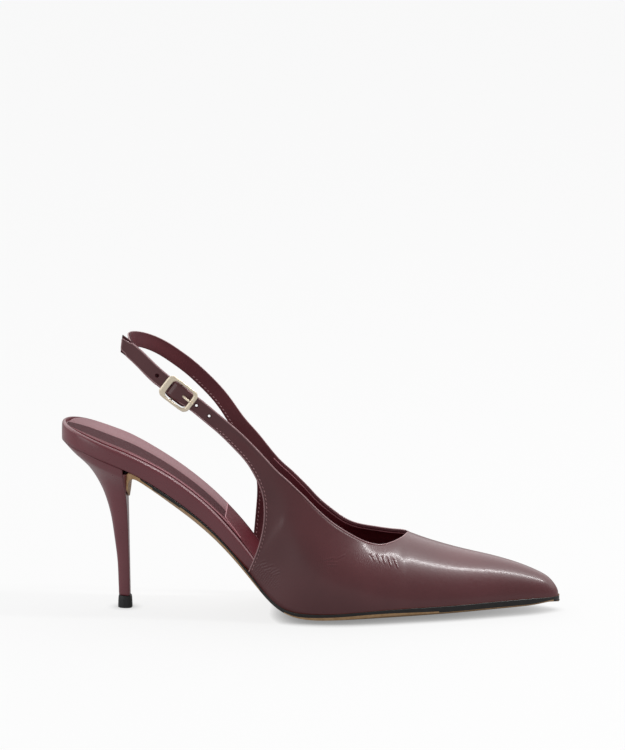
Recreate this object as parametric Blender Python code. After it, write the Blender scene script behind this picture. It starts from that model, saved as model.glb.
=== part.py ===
"""Right slingback pump on a slender high heel, toe along +X, medial side +Y, +Z up, in metres.

The origin is the middle of the heel tip's floor face. Every table holds shares of the named sizes.
"""

import math

import bmesh
import bpy
import numpy as np

# Last and sole
LENGTH = 0.2443  # back of the seat to the toe point
HEEL_SETBACK = 0.0307  # back of the seat to the heel tip's middle
BALL_WIDTH = 0.0685  # the sole across the ball
HEEL_RISE = 0.0820  # seat above forefoot
TOE_SPRING = 0.0042
SOLE_THICKNESS = 0.0032
SOLE_EDGE = 0.0018  # height of the sole's upright painted edge
LAST_CROWN = 0.0024  # how far the last's bottom hangs below the feather line
BOARD_THICKNESS = 0.0098  # covered insole board, at the shank
SOCK_THICKNESS = 0.0012
SOCK_MARGIN = 0.0005  # groove between the sock and the board's rim
RIM_RADIUS = 0.0019  # rounding of the board's upper edge
RIM_STEP = 0.0002  # slant of the step down into the tray
BOARD_SHOWS = 0.355  # of LENGTH: the board keeps to the outline up to here
BOARD_INSIDE = 0.373  # of LENGTH: from here on the board stands inside the upper
BOARD_STOP = 0.955  # of LENGTH
SOCK_STOP = 0.945  # of LENGTH
STRAIGHT_RINGS = 0.740  # of LENGTH: from here on the rings of board and sock run straight across
TRAY_DEPTH = 0.0018  # how far the sock's tray is sunk below the rim
GAP = 0.0003  # running clearance between two glued pieces

# Upper
WALL = 0.0015
VAMP_HEIGHT = 0.0323  # ridge above the feather line at the throat
SIDE_RISE = 0.0600  # scale of the quarters' heights above the feather line
SLING_RISE = 0.0700  # scale of the sling's heights above the seat
SLING_WIDTH = 0.0275  # middle of the foot to the sling's outer face
STRAP_WIDTH = 0.0072
STRAP_END_SLANT = 0.0043  # how far the free end's upper corner runs past its lower one
HOLE_DIAMETER = 0.0018
HOLE_PITCH = 0.0080
HOLE_REACH = 0.0011  # how far a hole's cutter stands out on both sides of the strap

# Steps of the upper's sheet
HOOPS = 15  # toe to throat
HOOP_SPREAD = 1.15  # how much closer the hoops stand at the toe
RIB_STEPS = 8  # feather line to topline
RIB_SPLITS = 2  # ribs for each row of the tables

# Heel
TIP_LENGTH = 0.0068
TIP_WIDTH = 0.0070
BREAST_BULGE = 0.0004  # middle of the breast, ahead of its corners
TOP_PIECE_HEIGHT = 0.0060
TOP_PIECE_MARGIN = 0.0002
TOP_PIECE_BEVEL = 0.0005
FLAP_BEND = 0.0085  # forward of the heel tip's middle: behind here the outsole bends down into its flap

# Buckle
BUCKLE_LENGTH = 0.0176
BUCKLE_WIDTH = 0.0106
BUCKLE_THICKNESS = 0.0012
BUCKLE_CORNER = 0.0019
WINDOW_CORNER = 0.0011
BUCKLE_BEVEL = 0.00028
LEFT_BAR = 0.0034
RIGHT_BAR = 0.0021
RAIL = 0.0011
CENTRE_BAR = 0.0010
PRONG = 0.0010
PRONG_DEPTH = 0.0030  # how far the prong's root reaches through the strap
HOLE_FROM_END = 0.0392  # free end of the strap to the hole the prong is in
BUCKLE_AHEAD = -0.0025  # middle of the frame, forward of that hole
CENTRE_BAR_PLACE = -0.0010  # centre bar, forward of the frame's middle

# One row for each section from the back of the seat to the toe point: along (of LENGTH), half width and
# centre (of BALL_WIDTH), rise (of HEEL_RISE), crown (of LAST_CROWN), spring (of TOE_SPRING), board (of
# BOARD_THICKNESS).
PLAN = (
    (0.0000, 0.000, 0.000, 1.002, 0.00, 0.00, 0.93),
    (0.0057, 0.123, 0.000, 0.999, 0.00, 0.00, 0.92),
    (0.0250, 0.237, 0.000, 0.984, 0.00, 0.00, 0.89),
    (0.0562, 0.311, 0.000, 0.954, 0.00, 0.00, 0.86),
    (0.0931, 0.342, 0.000, 0.913, 0.00, 0.00, 0.83),
    (0.1341, 0.346, -0.005, 0.861, 0.10, 0.00, 0.85),
    (0.1751, 0.324, -0.020, 0.772, 0.95, 0.00, 0.90),
    (0.2243, 0.302, -0.034, 0.662, 1.42, 0.00, 1.00),
    (0.2735, 0.297, -0.036, 0.549, 1.50, 0.00, 1.02),
    (0.3145, 0.302, -0.032, 0.438, 1.50, 0.00, 1.02),
    (0.3473, 0.317, -0.025, 0.333, 1.45, 0.00, 1.00),
    (0.3801, 0.346, -0.017, 0.218, 1.35, 0.00, 0.97),
    (0.4088, 0.381, -0.013, 0.117, 1.15, 0.00, 0.85),
    (0.4375, 0.422, -0.010, 0.043, 0.95, 0.00, 0.66),
    (0.4703, 0.452, -0.010, 0.006, 0.72, 0.00, 0.50),
    (0.5113, 0.480, -0.004, 0.000, 0.48, 0.00, 0.38),
    (0.5605, 0.496, 0.009, 0.000, 0.62, 0.00, 0.32),
    (0.6097, 0.488, 0.020, 0.000, 0.92, 0.03, 0.30),
    (0.6589, 0.458, 0.026, 0.000, 1.05, 0.10, 0.29),
    (0.7081, 0.416, 0.028, 0.000, 0.98, 0.20, 0.28),
    (0.7573, 0.367, 0.026, 0.000, 0.82, 0.32, 0.28),
    (0.8065, 0.312, 0.023, 0.000, 0.67, 0.45, 0.27),
    (0.8557, 0.253, 0.024, 0.000, 0.54, 0.60, 0.26),
    (0.9008, 0.197, 0.025, 0.000, 0.37, 0.74, 0.25),
    (0.9418, 0.144, 0.028, 0.000, 0.20, 0.86, 0.24),
    (0.9705, 0.102, 0.034, 0.000, 0.08, 0.93, 0.22),
    (0.9885, 0.064, 0.037, 0.000, 0.03, 0.97, 0.20),
    (0.9975, 0.034, 0.041, 0.000, 0.00, 0.99, 0.20),
    (1.0000, 0.000, 0.044, 0.000, 0.00, 1.00, 0.20),
)
PLAN_ODD = (False, True, False, False, False, False, False)

# Vamp, toe point to throat: along (of LENGTH), ridge height (of VAMP_HEIGHT) above the feather line,
# ridge's side shift (of BALL_WIDTH), outward lean at the feather line and rise at the ridge in degrees,
# fullness of the side and of the top.
VAMP = (
    (1.0000, 0.000, 0.044, 0, 0, 0.55, 0.55),
    (0.9975, 0.085, 0.043, 0, 0, 0.55, 0.55),
    (0.9885, 0.212, 0.043, 2, 0, 0.55, 0.55),
    (0.9705, 0.328, 0.045, 4, 0, 0.55, 0.56),
    (0.9418, 0.430, 0.048, 6, 0, 0.55, 0.57),
    (0.9008, 0.542, 0.051, 8, 0, 0.54, 0.58),
    (0.8557, 0.635, 0.054, 9, 0, 0.53, 0.58),
    (0.8065, 0.724, 0.055, 9, 0, 0.52, 0.57),
    (0.7573, 0.827, 0.052, 9, 0, 0.51, 0.56),
    (0.7081, 0.954, 0.046, 9, 0, 0.50, 0.55),
    (0.6937, 1.000, 0.044, 9, 0, 0.50, 0.55),
    (0.6600, 1.125, 0.040, 9, 0, 0.50, 0.55),
    (0.6200, 1.290, 0.036, 9, 0, 0.50, 0.55),
    (0.5750, 1.480, 0.034, 9, 0, 0.50, 0.55),
)
THROAT_ROW = 10  # the rows after this one only guide the sides beneath the topline
VAMP_ODD = (False, True, False, False, False, False, False)

BLEND_RIB = 6  # the sides have their own shape from this rib on

# Quarters, throat to the corner where the cut-out starts: foot (of LENGTH) of each rib on the feather line,
# then its head on the topline: along (of LENGTH), side (of BALL_WIDTH, from the middle of the foot), rise
# (of SIDE_RISE above the feather line there), then lean and rise angle in degrees.
LATERAL_RIBS = (
    (0.671, 0.6847, 0.095, 0.532, 9, 4),
    (0.647, 0.6662, 0.172, 0.514, 9, 9),
    (0.618, 0.6441, 0.231, 0.506, 9, 18),
    (0.585, 0.6203, 0.276, 0.539, 9, 34),
    (0.548, 0.5957, 0.310, 0.598, 8, 48),
    (0.511, 0.5711, 0.338, 0.672, 7, 56),
    (0.474, 0.5482, 0.359, 0.745, 6, 61),
    (0.437, 0.5277, 0.374, 0.824, 5, 65),
    (0.407, 0.5096, 0.384, 0.898, 4, 68),
    (0.380, 0.4924, 0.391, 0.970, 4, 71),
)
MEDIAL_RIBS = (
    (0.671, 0.6859, 0.134, 0.530, 9, 4),
    (0.647, 0.6683, 0.207, 0.517, 9, 9),
    (0.618, 0.6466, 0.269, 0.512, 9, 16),
    (0.585, 0.6220, 0.312, 0.520, 9, 24),
    (0.548, 0.5957, 0.343, 0.535, 8, 33),
    (0.511, 0.5695, 0.364, 0.573, 7, 42),
    (0.474, 0.5449, 0.377, 0.644, 6, 50),
    (0.437, 0.5236, 0.384, 0.713, 5, 57),
    (0.407, 0.5055, 0.391, 0.780, 4, 63),
    (0.380, 0.4891, 0.394, 0.850, 4, 68),
)

# Ribs along the cut-out: along, side and rise of the cut edge, then of the topline, lean, rise angle.
LATERAL_EDGE = (
    (0.3957, 0.380, 0.236, 0.4768, 0.394, 1.023, 3, 72),
    (0.4084, 0.399, 0.480, 0.4629, 0.397, 1.065, 2, 76),
    (0.4125, 0.407, 0.668, 0.4498, 0.397, 1.090, 1, 79),
    (0.4096, 0.410, 0.800, 0.4367, 0.397, 1.107, 0, 82),
    (0.3981, 0.410, 0.870, 0.4194, 0.397, 1.125, 0, 85),
    (0.3793, 0.409, 0.910, 0.3998, 0.397, 1.122, 0, 88),
    (0.3547, 0.409, 0.900, 0.3752, 0.397, 1.100, 0, 90),
)
MEDIAL_EDGE = (
    (0.3817, 0.377, 0.170, 0.4727, 0.396, 0.905, 3, 72),
    (0.3850, 0.394, 0.360, 0.4563, 0.397, 0.950, 2, 76),
    (0.3875, 0.404, 0.530, 0.4399, 0.397, 0.972, 1, 79),
    (0.3834, 0.409, 0.650, 0.4227, 0.397, 0.990, 0, 82),
    (0.3719, 0.409, 0.730, 0.4039, 0.397, 1.003, 0, 85),
    (0.3555, 0.409, 0.767, 0.3842, 0.397, 1.003, 0, 88),
    (0.3366, 0.409, 0.788, 0.3616, 0.397, 0.990, 0, 90),
)

# Middle line of each strap behind the quarters: along (of LENGTH), side (of SLING_WIDTH), rise (of
# SLING_RISE above the seat).
LATERAL_STRAP = (
    (0.3362, 1.006, 0.296),
    (0.3079, 1.007, 0.379),
    (0.2796, 1.007, 0.462),
    (0.2509, 1.007, 0.535),
    (0.2243, 1.004, 0.606),
    (0.1997, 0.989, 0.675),
    (0.1771, 0.967, 0.748),
    (0.1562, 0.942, 0.818),
    (0.1290, 0.909, 0.891),
)
MEDIAL_STRAP = (
    (0.3264, 1.004, 0.291),
    (0.3018, 1.000, 0.402),
    (0.2776, 0.993, 0.489),
    (0.2521, 0.978, 0.573),
    (0.2251, 0.942, 0.647),
    (0.2001, 0.869, 0.713),
    (0.1759, 0.742, 0.766),
    (0.1542, 0.531, 0.807),
    (0.1390, 0.269, 0.831),
    (0.1337, 0.000, 0.839),
    (0.1388, -0.276, 0.822),
    (0.1515, -0.531, 0.776),
    (0.1700, -0.738, 0.732),
    (0.1930, -0.869, 0.671),
    (0.2150, -0.922, 0.615),
)

# Heel stem, tip to seat: back and front (of HEEL_SETBACK, from the origin), height of back and of front
# (of HEEL_RISE), half width (of HEEL_SETBACK).
HEEL = (
    (0.101, 0.075, 0.0768, 0.0768, 0.108),
    (0.109, 0.072, 0.177, 0.177, 0.110),
    (0.122, 0.068, 0.293, 0.293, 0.118),
    (0.160, 0.063, 0.412, 0.410, 0.144),
    (0.195, 0.059, 0.512, 0.506, 0.174),
    (0.241, 0.054, 0.604, 0.589, 0.216),
    (0.313, 0.047, 0.695, 0.665, 0.284),
    (0.401, 0.038, 0.774, 0.726, 0.375),
    (0.550, 0.030, 0.868, 0.778, 0.490),
    (0.710, 0.025, 0.934, 0.821, 0.598),
    (0.870, 0.021, 0.989, 0.857, 0.694),
)

# Sole flap, top to point: height (of HEEL_RISE), half width and thickness (of HEEL_SETBACK).
FLAP = (
    (0.750, 0.400, 0.034),
    (0.728, 0.285, 0.031),
    (0.707, 0.165, 0.026),
    (0.691, 0.075, 0.020),
    (0.684, 0.026, 0.016),
)


def cubic(times, rows):
    """Natural cubic spline through rows at the given times, as a function of time."""
    t = np.asarray(times, float)
    y = np.asarray(rows, float)
    h = np.diff(t)
    slope = np.diff(y, axis=0) / h[:, None]
    n = len(t)
    matrix = np.eye(n)
    right = np.zeros_like(y)
    for i in range(1, n - 1):
        matrix[i, i - 1 : i + 2] = h[i - 1], 2 * (h[i - 1] + h[i]), h[i]
        right[i] = 6 * (slope[i] - slope[i - 1])
    bend = np.linalg.solve(matrix, right)

    def at(time):
        i = int(np.clip(np.searchsorted(t, time) - 1, 0, n - 2))
        a, b = t[i + 1] - time, time - t[i]
        curve = (bend[i] * a**3 + bend[i + 1] * b**3) / (6 * h[i])
        lines = (y[i] / h[i] - bend[i] * h[i] / 6) * a + (y[i + 1] / h[i] - bend[i + 1] * h[i] / 6) * b
        return curve + lines

    return at


def mirrored(times, rows, odd, both_ends):
    """The rows with their reflection added before the first, and after the last too, for round ends."""
    t = np.asarray(times, float)
    y = np.asarray(rows, float)
    sign = np.where(odd, -1.0, 1.0)
    new_t, new_y = [2 * t[0] - t[1:4][::-1], t], [y[1:4][::-1] * sign, y]
    if both_ends:
        new_t.append(2 * t[-1] - t[-4:-1][::-1])
        new_y.append(y[-4:-1][::-1] * sign)
    return np.concatenate(new_t), np.vstack(new_y)


def plan_times():
    points = np.array([(row[0] * LENGTH, row[1] * BALL_WIDTH) for row in PLAN])
    return np.concatenate([[0], np.cumsum(np.linalg.norm(np.diff(points, axis=0), axis=1))])


PLAN_TIMES = plan_times()
PLAN_AT = cubic(*mirrored(PLAN_TIMES, PLAN, PLAN_ODD, True))
FINE_TIMES = np.linspace(0, PLAN_TIMES[-1], 1201)
FINE_ALONG = np.array([PLAN_AT(time)[0] for time in FINE_TIMES])


def time_at(along):
    return float(np.interp(along, FINE_ALONG, FINE_TIMES))


class Section:
    """The last's outline and heights where the plan is cut at one time."""

    def __init__(self, time):
        along, half, centre, rise, crown, spring, board = PLAN_AT(time)
        self.along = along
        self.x = along * LENGTH - HEEL_SETBACK
        self.half = max(half, 0.0) * BALL_WIDTH
        self.centre = centre * BALL_WIDTH
        self.middle = rise * HEEL_RISE + spring * TOE_SPRING + SOLE_THICKNESS
        self.feather = self.middle + crown * LAST_CROWN
        self.board = board * BOARD_THICKNESS

    def side(self, sign, inset=0.0):
        return self.centre + sign * max(self.half - inset, 0.0)

    def crowned(self, share):
        """Height of the last's bottom at a share of the half width."""
        return self.middle + (self.feather - self.middle) * share * share


def section_at(along):
    return Section(time_at(along))


def seat_height():
    return section_at(HEEL_SETBACK / LENGTH).feather


def bezier(corners, u):
    low, a, b, high = corners
    v = 1 - u
    return low * v**3 + 3 * a * v * v * u + 3 * b * v * u * u + high * u**3


def rib_corners(low, high, sign, lean, rise, side_full, top_full):
    """Corners of the curve from the feather line or cut edge up to the topline or ridge."""
    low, high = np.array(low, float), np.array(high, float)
    chord = high - low
    up = np.array([chord[0], 0.0, chord[2]])
    up /= max(np.linalg.norm(up), 1e-9)
    out = np.array([0.0, sign, 0.0])
    lean, rise = math.radians(lean), math.radians(rise)
    start = up * math.cos(lean) + out * math.sin(lean)
    end = up * math.sin(rise) - out * math.cos(rise)
    a = low + start * side_full * max(chord @ start, 0.25 * np.linalg.norm(chord))
    b = high - end * top_full * max(chord @ end, 0.10 * np.linalg.norm(chord))
    return low, a, b, high


def rib(low, high, sign, shape, steps):
    corners = rib_corners(low, high, sign, *shape)
    return np.array([bezier(corners, step / steps) for step in range(steps + 1)])


def new_object(name, points, faces, material, smooth=True):
    mesh = bpy.data.meshes.new(name)
    mesh.from_pydata([tuple(point) for point in points], [], faces)
    mesh.update()
    shape = bmesh.new()
    shape.from_mesh(mesh)
    bmesh.ops.recalc_face_normals(shape, faces=shape.faces)
    shape.to_mesh(mesh)
    shape.free()
    obj = bpy.data.objects.new(name, mesh)
    bpy.context.scene.collection.objects.link(obj)
    if material:
        mesh.materials.append(material)
    if smooth:
        mesh.shade_smooth()
        mesh.set_sharp_from_angle(angle=math.radians(40))
    return obj


def finish(name, colour, roughness, metallic=0.0):
    material = bpy.data.materials.new(name)
    material.use_nodes = True
    shader = material.node_tree.nodes["Principled BSDF"]
    shader.inputs["Base Color"].default_value = (*colour, 1)
    shader.inputs["Roughness"].default_value = roughness
    shader.inputs["Metallic"].default_value = metallic
    return material


def loft(rings):
    """Points and faces of a closed body through rings of equal length, its ends capped."""
    count = len(rings[0])
    points = [point for ring in rings for point in ring]
    faces = []
    for i in range(len(rings) - 1):
        for j in range(count):
            k = (j + 1) % count
            faces.append((i * count + j, i * count + k, (i + 1) * count + k, (i + 1) * count + j))
    faces.append(tuple(range(count)))
    faces.append(tuple((len(rings) - 1) * count + j for j in range(count)))
    return points, faces


def rib_table(ribs, edges, strap, sign):
    """Foot, head, lean, rise and fullness of each rib of one side, from the throat to the strap's end."""
    rows = []
    for foot, along, side, rise, lean, angle in ribs:
        low = section_at(foot)
        high = section_at(along)
        rows.append(
            (
                (low.x, low.side(sign), low.feather),
                (high.x, sign * side * BALL_WIDTH, high.feather + rise * SIDE_RISE),
                (lean, angle, 0.50, 0.52),
            )
        )
    corner = len(rows) - 1
    for along, side, rise, top_along, top_side, top_rise, lean, angle in edges:
        low = section_at(along)
        high = section_at(top_along)
        rows.append(
            (
                (low.x, sign * side * BALL_WIDTH, low.feather + rise * SIDE_RISE),
                (high.x, sign * top_side * BALL_WIDTH, high.feather + top_rise * SIDE_RISE),
                (lean, angle, 0.42, 0.42),
            )
        )
    middle = np.array(
        [
            (along * LENGTH - HEEL_SETBACK, sign * side * SLING_WIDTH, seat_height() + rise * SLING_RISE)
            for along, side, rise in strap
        ]
    )
    before = (np.array(rows[-1][0]) + np.array(rows[-1][1])) / 2
    path = np.vstack([before, middle])
    for i in range(1, len(path)):
        ahead = path[min(i + 1, len(path) - 1)] - path[i - 1]
        ahead /= np.linalg.norm(ahead)
        flat = np.array([ahead[1], -ahead[0], 0.0])
        across = np.cross(flat / np.linalg.norm(flat), ahead)
        across *= math.copysign(1.0, across[2]) / np.linalg.norm(across)
        low, high = path[i] - across * STRAP_WIDTH / 2, path[i] + across * STRAP_WIDTH / 2
        if i == len(path) - 1 and sign < 0:
            low, high = low - ahead * STRAP_END_SLANT / 2, high + ahead * STRAP_END_SLANT / 2
        rows.append((tuple(low), tuple(high), (0, 90, 0.34, 0.34)))
    return rows, corner


class Upper:
    """The upper as one sheet: hoops over the vamp, then a flap of ribs on each side ending in a strap."""

    def __init__(self):
        throat_along = VAMP[THROAT_ROW][0]
        times = [PLAN_TIMES[-1] - time_at(row[0]) for row in VAMP]
        self.vamp_at = cubic(*mirrored(times, VAMP, VAMP_ODD, False))
        self.throat_time = PLAN_TIMES[-1] - time_at(throat_along)
        throat = self.hoop_values(self.throat_time)
        head = np.array([throat["section"].x, throat["ridge_y"], throat["ridge_z"]])
        self.sides = {}
        heads = {}
        for sign, ribs, edges, strap in (
            (-1, LATERAL_RIBS, LATERAL_EDGE, LATERAL_STRAP),
            (1, MEDIAL_RIBS, MEDIAL_EDGE, MEDIAL_STRAP),
        ):
            rows, corner = rib_table(ribs, edges, strap, sign)
            foot = (throat["section"].x, throat["section"].side(sign), throat["section"].feather)
            tops = np.array([head] + [row[1] for row in rows])
            feet = np.array([foot] + [row[0] for row in rows])
            middles = (tops + feet) / 2
            top_steps = np.linalg.norm(np.diff(tops, axis=0), axis=1)
            middle_steps = np.linalg.norm(np.diff(middles, axis=0), axis=1)
            times = np.concatenate([[0], np.cumsum(0.6 * top_steps + 0.4 * middle_steps)])
            heads[sign] = times, tops
            self.sides[sign] = times, feet, rows, corner
        left_times, left = heads[-1]
        right_times, right = heads[1]
        self.head_at = cubic(
            np.concatenate([-left_times[::-1], right_times[1:]]), np.vstack([left[::-1], right[1:]])
        )
        self.throat = throat

    def hoop_values(self, time):
        along, ridge, shift, lean, rise, side_full, top_full = self.vamp_at(time)
        section = Section(PLAN_TIMES[-1] - time)
        return {
            "section": section,
            "ridge_y": shift * BALL_WIDTH,
            "ridge_z": section.feather + ridge * VAMP_HEIGHT,
            "shape": (lean, rise, side_full, top_full),
        }

    def hoop(self, time, steps):
        values = self.hoop_values(time)
        section = values["section"]
        top = (section.x, values["ridge_y"], values["ridge_z"])
        halves = []
        for sign in (-1, 1):
            foot = (section.x, section.side(sign), section.feather)
            halves.append(rib(foot, top, sign, values["shape"], steps))
        return np.vstack([halves[0], halves[1][::-1][1:]])

    def cut_hoop(self, low, high, sign, steps):
        """The hoop above a foot on the feather line, carried on from the vamp and ended at the topline."""
        values = self.hoop_values(PLAN_TIMES[-1] - time_at((low[0] + HEEL_SETBACK) / LENGTH))
        top = (low[0], values["ridge_y"], values["ridge_z"])
        corners = rib_corners(low, top, sign, *values["shape"])
        fine = [bezier(corners, step / 60) for step in range(61)]
        widest = int(np.argmax([sign * point[1] for point in fine]))
        sides = [-sign * point[1] for point in fine[widest:]]
        end = float(np.interp(-sign * high[1], sides, np.linspace(widest / 60, 1, len(sides))))
        reached = bezier(corners, end)
        scale = (high[2] - low[2]) / (reached[2] - low[2])
        points = []
        for step in range(steps + 1):
            u = step / steps
            point = bezier(corners, end * u)
            point[2] = low[2] + (point[2] - low[2]) * scale
            point[0] += (high[0] - low[0]) * u
            points.append(point)
        return np.array(points)

    def side_ribs(self, sign, steps, splits):
        """Ribs behind the throat, from foot to head, with each gap between two rows split."""
        times, feet, rows, corner = self.sides[sign]
        throat = self.throat
        shapes = np.array([throat["shape"]] + [row[2] for row in rows], float)
        foot_along = [(feet[i][0] + HEEL_SETBACK) / LENGTH for i in range(corner + 2)]
        along_at = cubic(times[: corner + 2], np.array(foot_along)[:, None])
        edge_at = cubic(times[corner + 1 :], feet[corner + 1 :])
        ribs = []
        for i in range(len(times) - 1):
            for part in range(splits):
                time = times[i] + (times[i + 1] - times[i]) * (part + 1) / splits
                if i < corner + 1 - (part == splits - 1) + 1 and time <= times[corner + 1] + 1e-9:
                    section = section_at(float(along_at(time)[0]))
                    low = np.array([section.x, section.side(sign), section.feather])
                else:
                    low = edge_at(time)
                high = self.head_at(sign * time)
                shape = [np.interp(time, times, shapes[:, k]) for k in range(4)]
                points = rib(low, high, sign, shape, steps)
                if time < times[BLEND_RIB]:
                    share = time / times[BLEND_RIB]
                    share = share * share * (3 - 2 * share)
                    points = points * share + self.cut_hoop(low, high, sign, steps) * (1 - share)
                ribs.append(points)
        return ribs


def upper_sheet(hoop_steps, rib_steps, splits):
    """Points and faces of the upper's outer face."""
    form = Upper()
    points, faces = [], []

    def add(row):
        start = len(points)
        points.extend(row)
        return list(range(start, start + len(row)))

    shares = (np.arange(1, hoop_steps + 1) / hoop_steps) ** HOOP_SPREAD
    rows = [add(form.hoop(form.throat_time * share, rib_steps)) for share in shares]
    tip = form.hoop_values(0.0)["section"]
    point = add([np.array([tip.x, tip.centre, tip.feather])])[0]
    for j in range(2 * rib_steps):
        faces.append((point, rows[0][j + 1], rows[0][j]))
    for first, second in zip(rows, rows[1:]):
        for j in range(2 * rib_steps):
            faces.append((first[j], first[j + 1], second[j + 1], second[j]))
    for sign in (-1, 1):
        previous = rows[-1][: rib_steps + 1] if sign < 0 else rows[-1][rib_steps:][::-1]
        for ribbed in form.side_ribs(sign, rib_steps, splits):
            current = add(ribbed)
            for j in range(rib_steps):
                quad = (previous[j], previous[j + 1], current[j + 1], current[j])
                faces.append(quad if sign < 0 else quad[::-1])
            previous = current
    return form, points, faces


def build_upper(material):
    form, points, faces = upper_sheet(HOOPS, RIB_STEPS, RIB_SPLITS)
    mesh = bpy.data.meshes.new("upper")
    mesh.from_pydata([tuple(point) for point in points], [], faces)
    mesh.update()
    obj = bpy.data.objects.new("upper", mesh)
    bpy.context.scene.collection.objects.link(obj)
    mesh.materials.append(material)
    mesh.shade_smooth()
    wall = obj.modifiers.new("wall", "SOLIDIFY")
    wall.thickness = WALL
    wall.offset = -1
    wall.use_even_offset = True
    wall.thickness_clamp = 0
    return form, obj


def outline_point(time, sign, inset, cross=False):
    """Point of the plan, moved in by inset along its normal, or straight across if asked."""
    section = Section(time)
    if cross:
        return section.x, section.side(sign, inset)
    step = 1e-4
    before, after = Section(time - step), Section(time + step)
    along = np.array([after.x - before.x, after.side(sign) - before.side(sign)])
    if time < step or time > PLAN_TIMES[-1] - step:
        along = np.array([0.0, sign if time < step else -sign])
    along /= np.linalg.norm(along)
    inward = np.array([along[1], -along[0]]) * sign
    return section.x + inward[0] * inset, section.side(sign) + inward[1] * inset


def sheet_ring(time, levels, under, over, across, cross=False):
    """Closed ring: up the lateral side through levels (inset, height), over the top, down the medial side
    and back along the underside. Each height is a function of the section there; under and over take the
    share of the half width first."""

    def section_of(x):
        return section_at(min(max((x + HEEL_SETBACK) / LENGTH, 0.0), 1.0))

    sides = {}
    for sign in (-1, 1):
        sides[sign] = []
        for inset, height in levels:
            x, y = outline_point(time, sign, inset, cross)
            section = section_of(x) if inset else Section(time)
            sides[sign].append((x, y, height(section)))

    def between(first, last, height):
        row = []
        for step in range(1, across):
            share = step / across
            x = first[0] + (last[0] - first[0]) * share
            y = first[1] + (last[1] - first[1]) * share
            section = section_of(x)
            row.append((x, y, height(2 * share - 1, section)))
        return row

    top = between(sides[-1][-1], sides[1][-1], over)
    bottom = between(sides[1][0], sides[-1][0], under)
    return sides[-1] + top + sides[1][::-1] + bottom


def welded(obj, distance=2e-6):
    shape = bmesh.new()
    shape.from_mesh(obj.data)
    bmesh.ops.remove_doubles(shape, verts=shape.verts, dist=distance)
    wires = [edge for edge in shape.edges if not edge.link_faces]
    bmesh.ops.delete(shape, geom=wires, context="EDGES")
    bmesh.ops.recalc_face_normals(shape, faces=shape.faces)
    shape.to_mesh(obj.data)
    shape.free()
    return obj


def strip_loft(rings, middle):
    """Points and faces through the rings. Strips between the halves of a ring close each end, from the
    middle of its top to the middle of its underside."""
    count = len(rings[0])
    points = [point for ring in rings for point in ring]
    faces = []
    for i in range(len(rings) - 1):
        for j in range(count):
            k = (j + 1) % count
            faces.append((i * count + j, i * count + k, (i + 1) * count + k, (i + 1) * count + j))
    for i, turned in ((0, True), (len(rings) - 1, False)):
        for step in range(count // 2):
            corners = [middle + step, middle + step + 1, middle - step - 1, middle - step]
            corners = list(dict.fromkeys(corner % count for corner in corners))
            face = tuple(i * count + corner for corner in corners)
            faces.append(face[::-1] if turned else face)
    return points, faces


def board_inset(section):
    """The board keeps to the outline where it shows and steps inside the upper's wall ahead of that."""
    inside = WALL + 2 * GAP
    return float(np.interp(section.along, (BOARD_SHOWS, BOARD_INSIDE), (0.0, inside)))


def board_top(section):
    """Height of the board's rim."""
    return section.feather + section.board


def tray_floor(section):
    """Height of the tray that the sock lies in, sunk below the rim."""
    return board_top(section) - min(TRAY_DEPTH, 0.5 * section.board)


def rim_radius(section):
    return min(RIM_RADIUS, 0.42 * section.board)


def build_board(material):
    rings = []
    start, stop = PLAN_TIMES[0], time_at(BOARD_STOP)
    for share in np.linspace(0, 1, 46):
        time = start + (stop - start) * share
        section = Section(time)
        inset = board_inset(section)
        radius = rim_radius(section)
        edge = max(section.half - inset, 1e-6) / max(section.half, 1e-6)
        levels = [(inset, lambda here: here.crowned(edge))]
        levels.append((inset, lambda here: (here.feather + board_top(here) - radius) / 2))
        levels.append((inset, lambda here: board_top(here) - radius))
        for degrees in (35, 65, 90):
            angle = math.radians(degrees)
            drop = radius * (1 - math.sin(angle))
            move = inset + radius * (1 - math.cos(angle))
            levels.append((move, lambda here, drop=drop: board_top(here) - drop))
        levels.append((inset + radius + RIM_STEP, tray_floor))
        rings.append(
            sheet_ring(
                time,
                levels,
                lambda u, here: here.crowned(abs(u) * edge),
                lambda u, here: tray_floor(here),
                8,
                section.along > STRAIGHT_RINGS,
            )
        )
    points, faces = strip_loft(rings, 10)
    return welded(new_object("insole_board", points, faces, material))


def sock_inset(section):
    return board_inset(section) + rim_radius(section) + RIM_STEP + SOCK_MARGIN


def build_sock(material):
    rings = []
    start, stop = PLAN_TIMES[0], time_at(SOCK_STOP)
    for share in np.linspace(0, 1, 42):
        time = start + (stop - start) * share
        section = Section(time)
        inset = sock_inset(section)
        levels = []
        for move, rise in ((0, 0), (0, 0.4), (0.3, 0.85), (1.0, 1.0)):
            height = GAP + rise * SOCK_THICKNESS
            move = inset + move * SOCK_THICKNESS
            levels.append((move, lambda here, height=height: tray_floor(here) + height))
        rings.append(
            sheet_ring(
                time,
                levels,
                lambda u, here: tray_floor(here) + GAP,
                lambda u, here: tray_floor(here) + GAP + SOCK_THICKNESS,
                8,
                section.along > STRAIGHT_RINGS,
            )
        )
    points, faces = strip_loft(rings, 7)
    return welded(new_object("sock_lining", points, faces, material))


def sole_ring(time):
    """Section of the outsole: the underside is flat in the middle and rounds up to the painted edge."""
    section = Section(time)
    along = (section.x + HEEL_SETBACK) / LENGTH
    flat = float(np.interp(along, (0.40, 0.52), (0.28, 0.55)))
    top = section.feather - GAP
    low = section.middle - SOLE_THICKNESS
    edge = max(top - SOLE_EDGE, low + 0.0004)

    def under(u, here):
        rise = max(abs(u) - flat, 0) / (1 - flat)
        return low + (edge - low) * rise * rise

    def over(u, here):
        return section.crowned(u) - GAP

    return sheet_ring(time, [(0.0, lambda here: edge), (0.0, lambda here: top)], under, over, 14)


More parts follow.
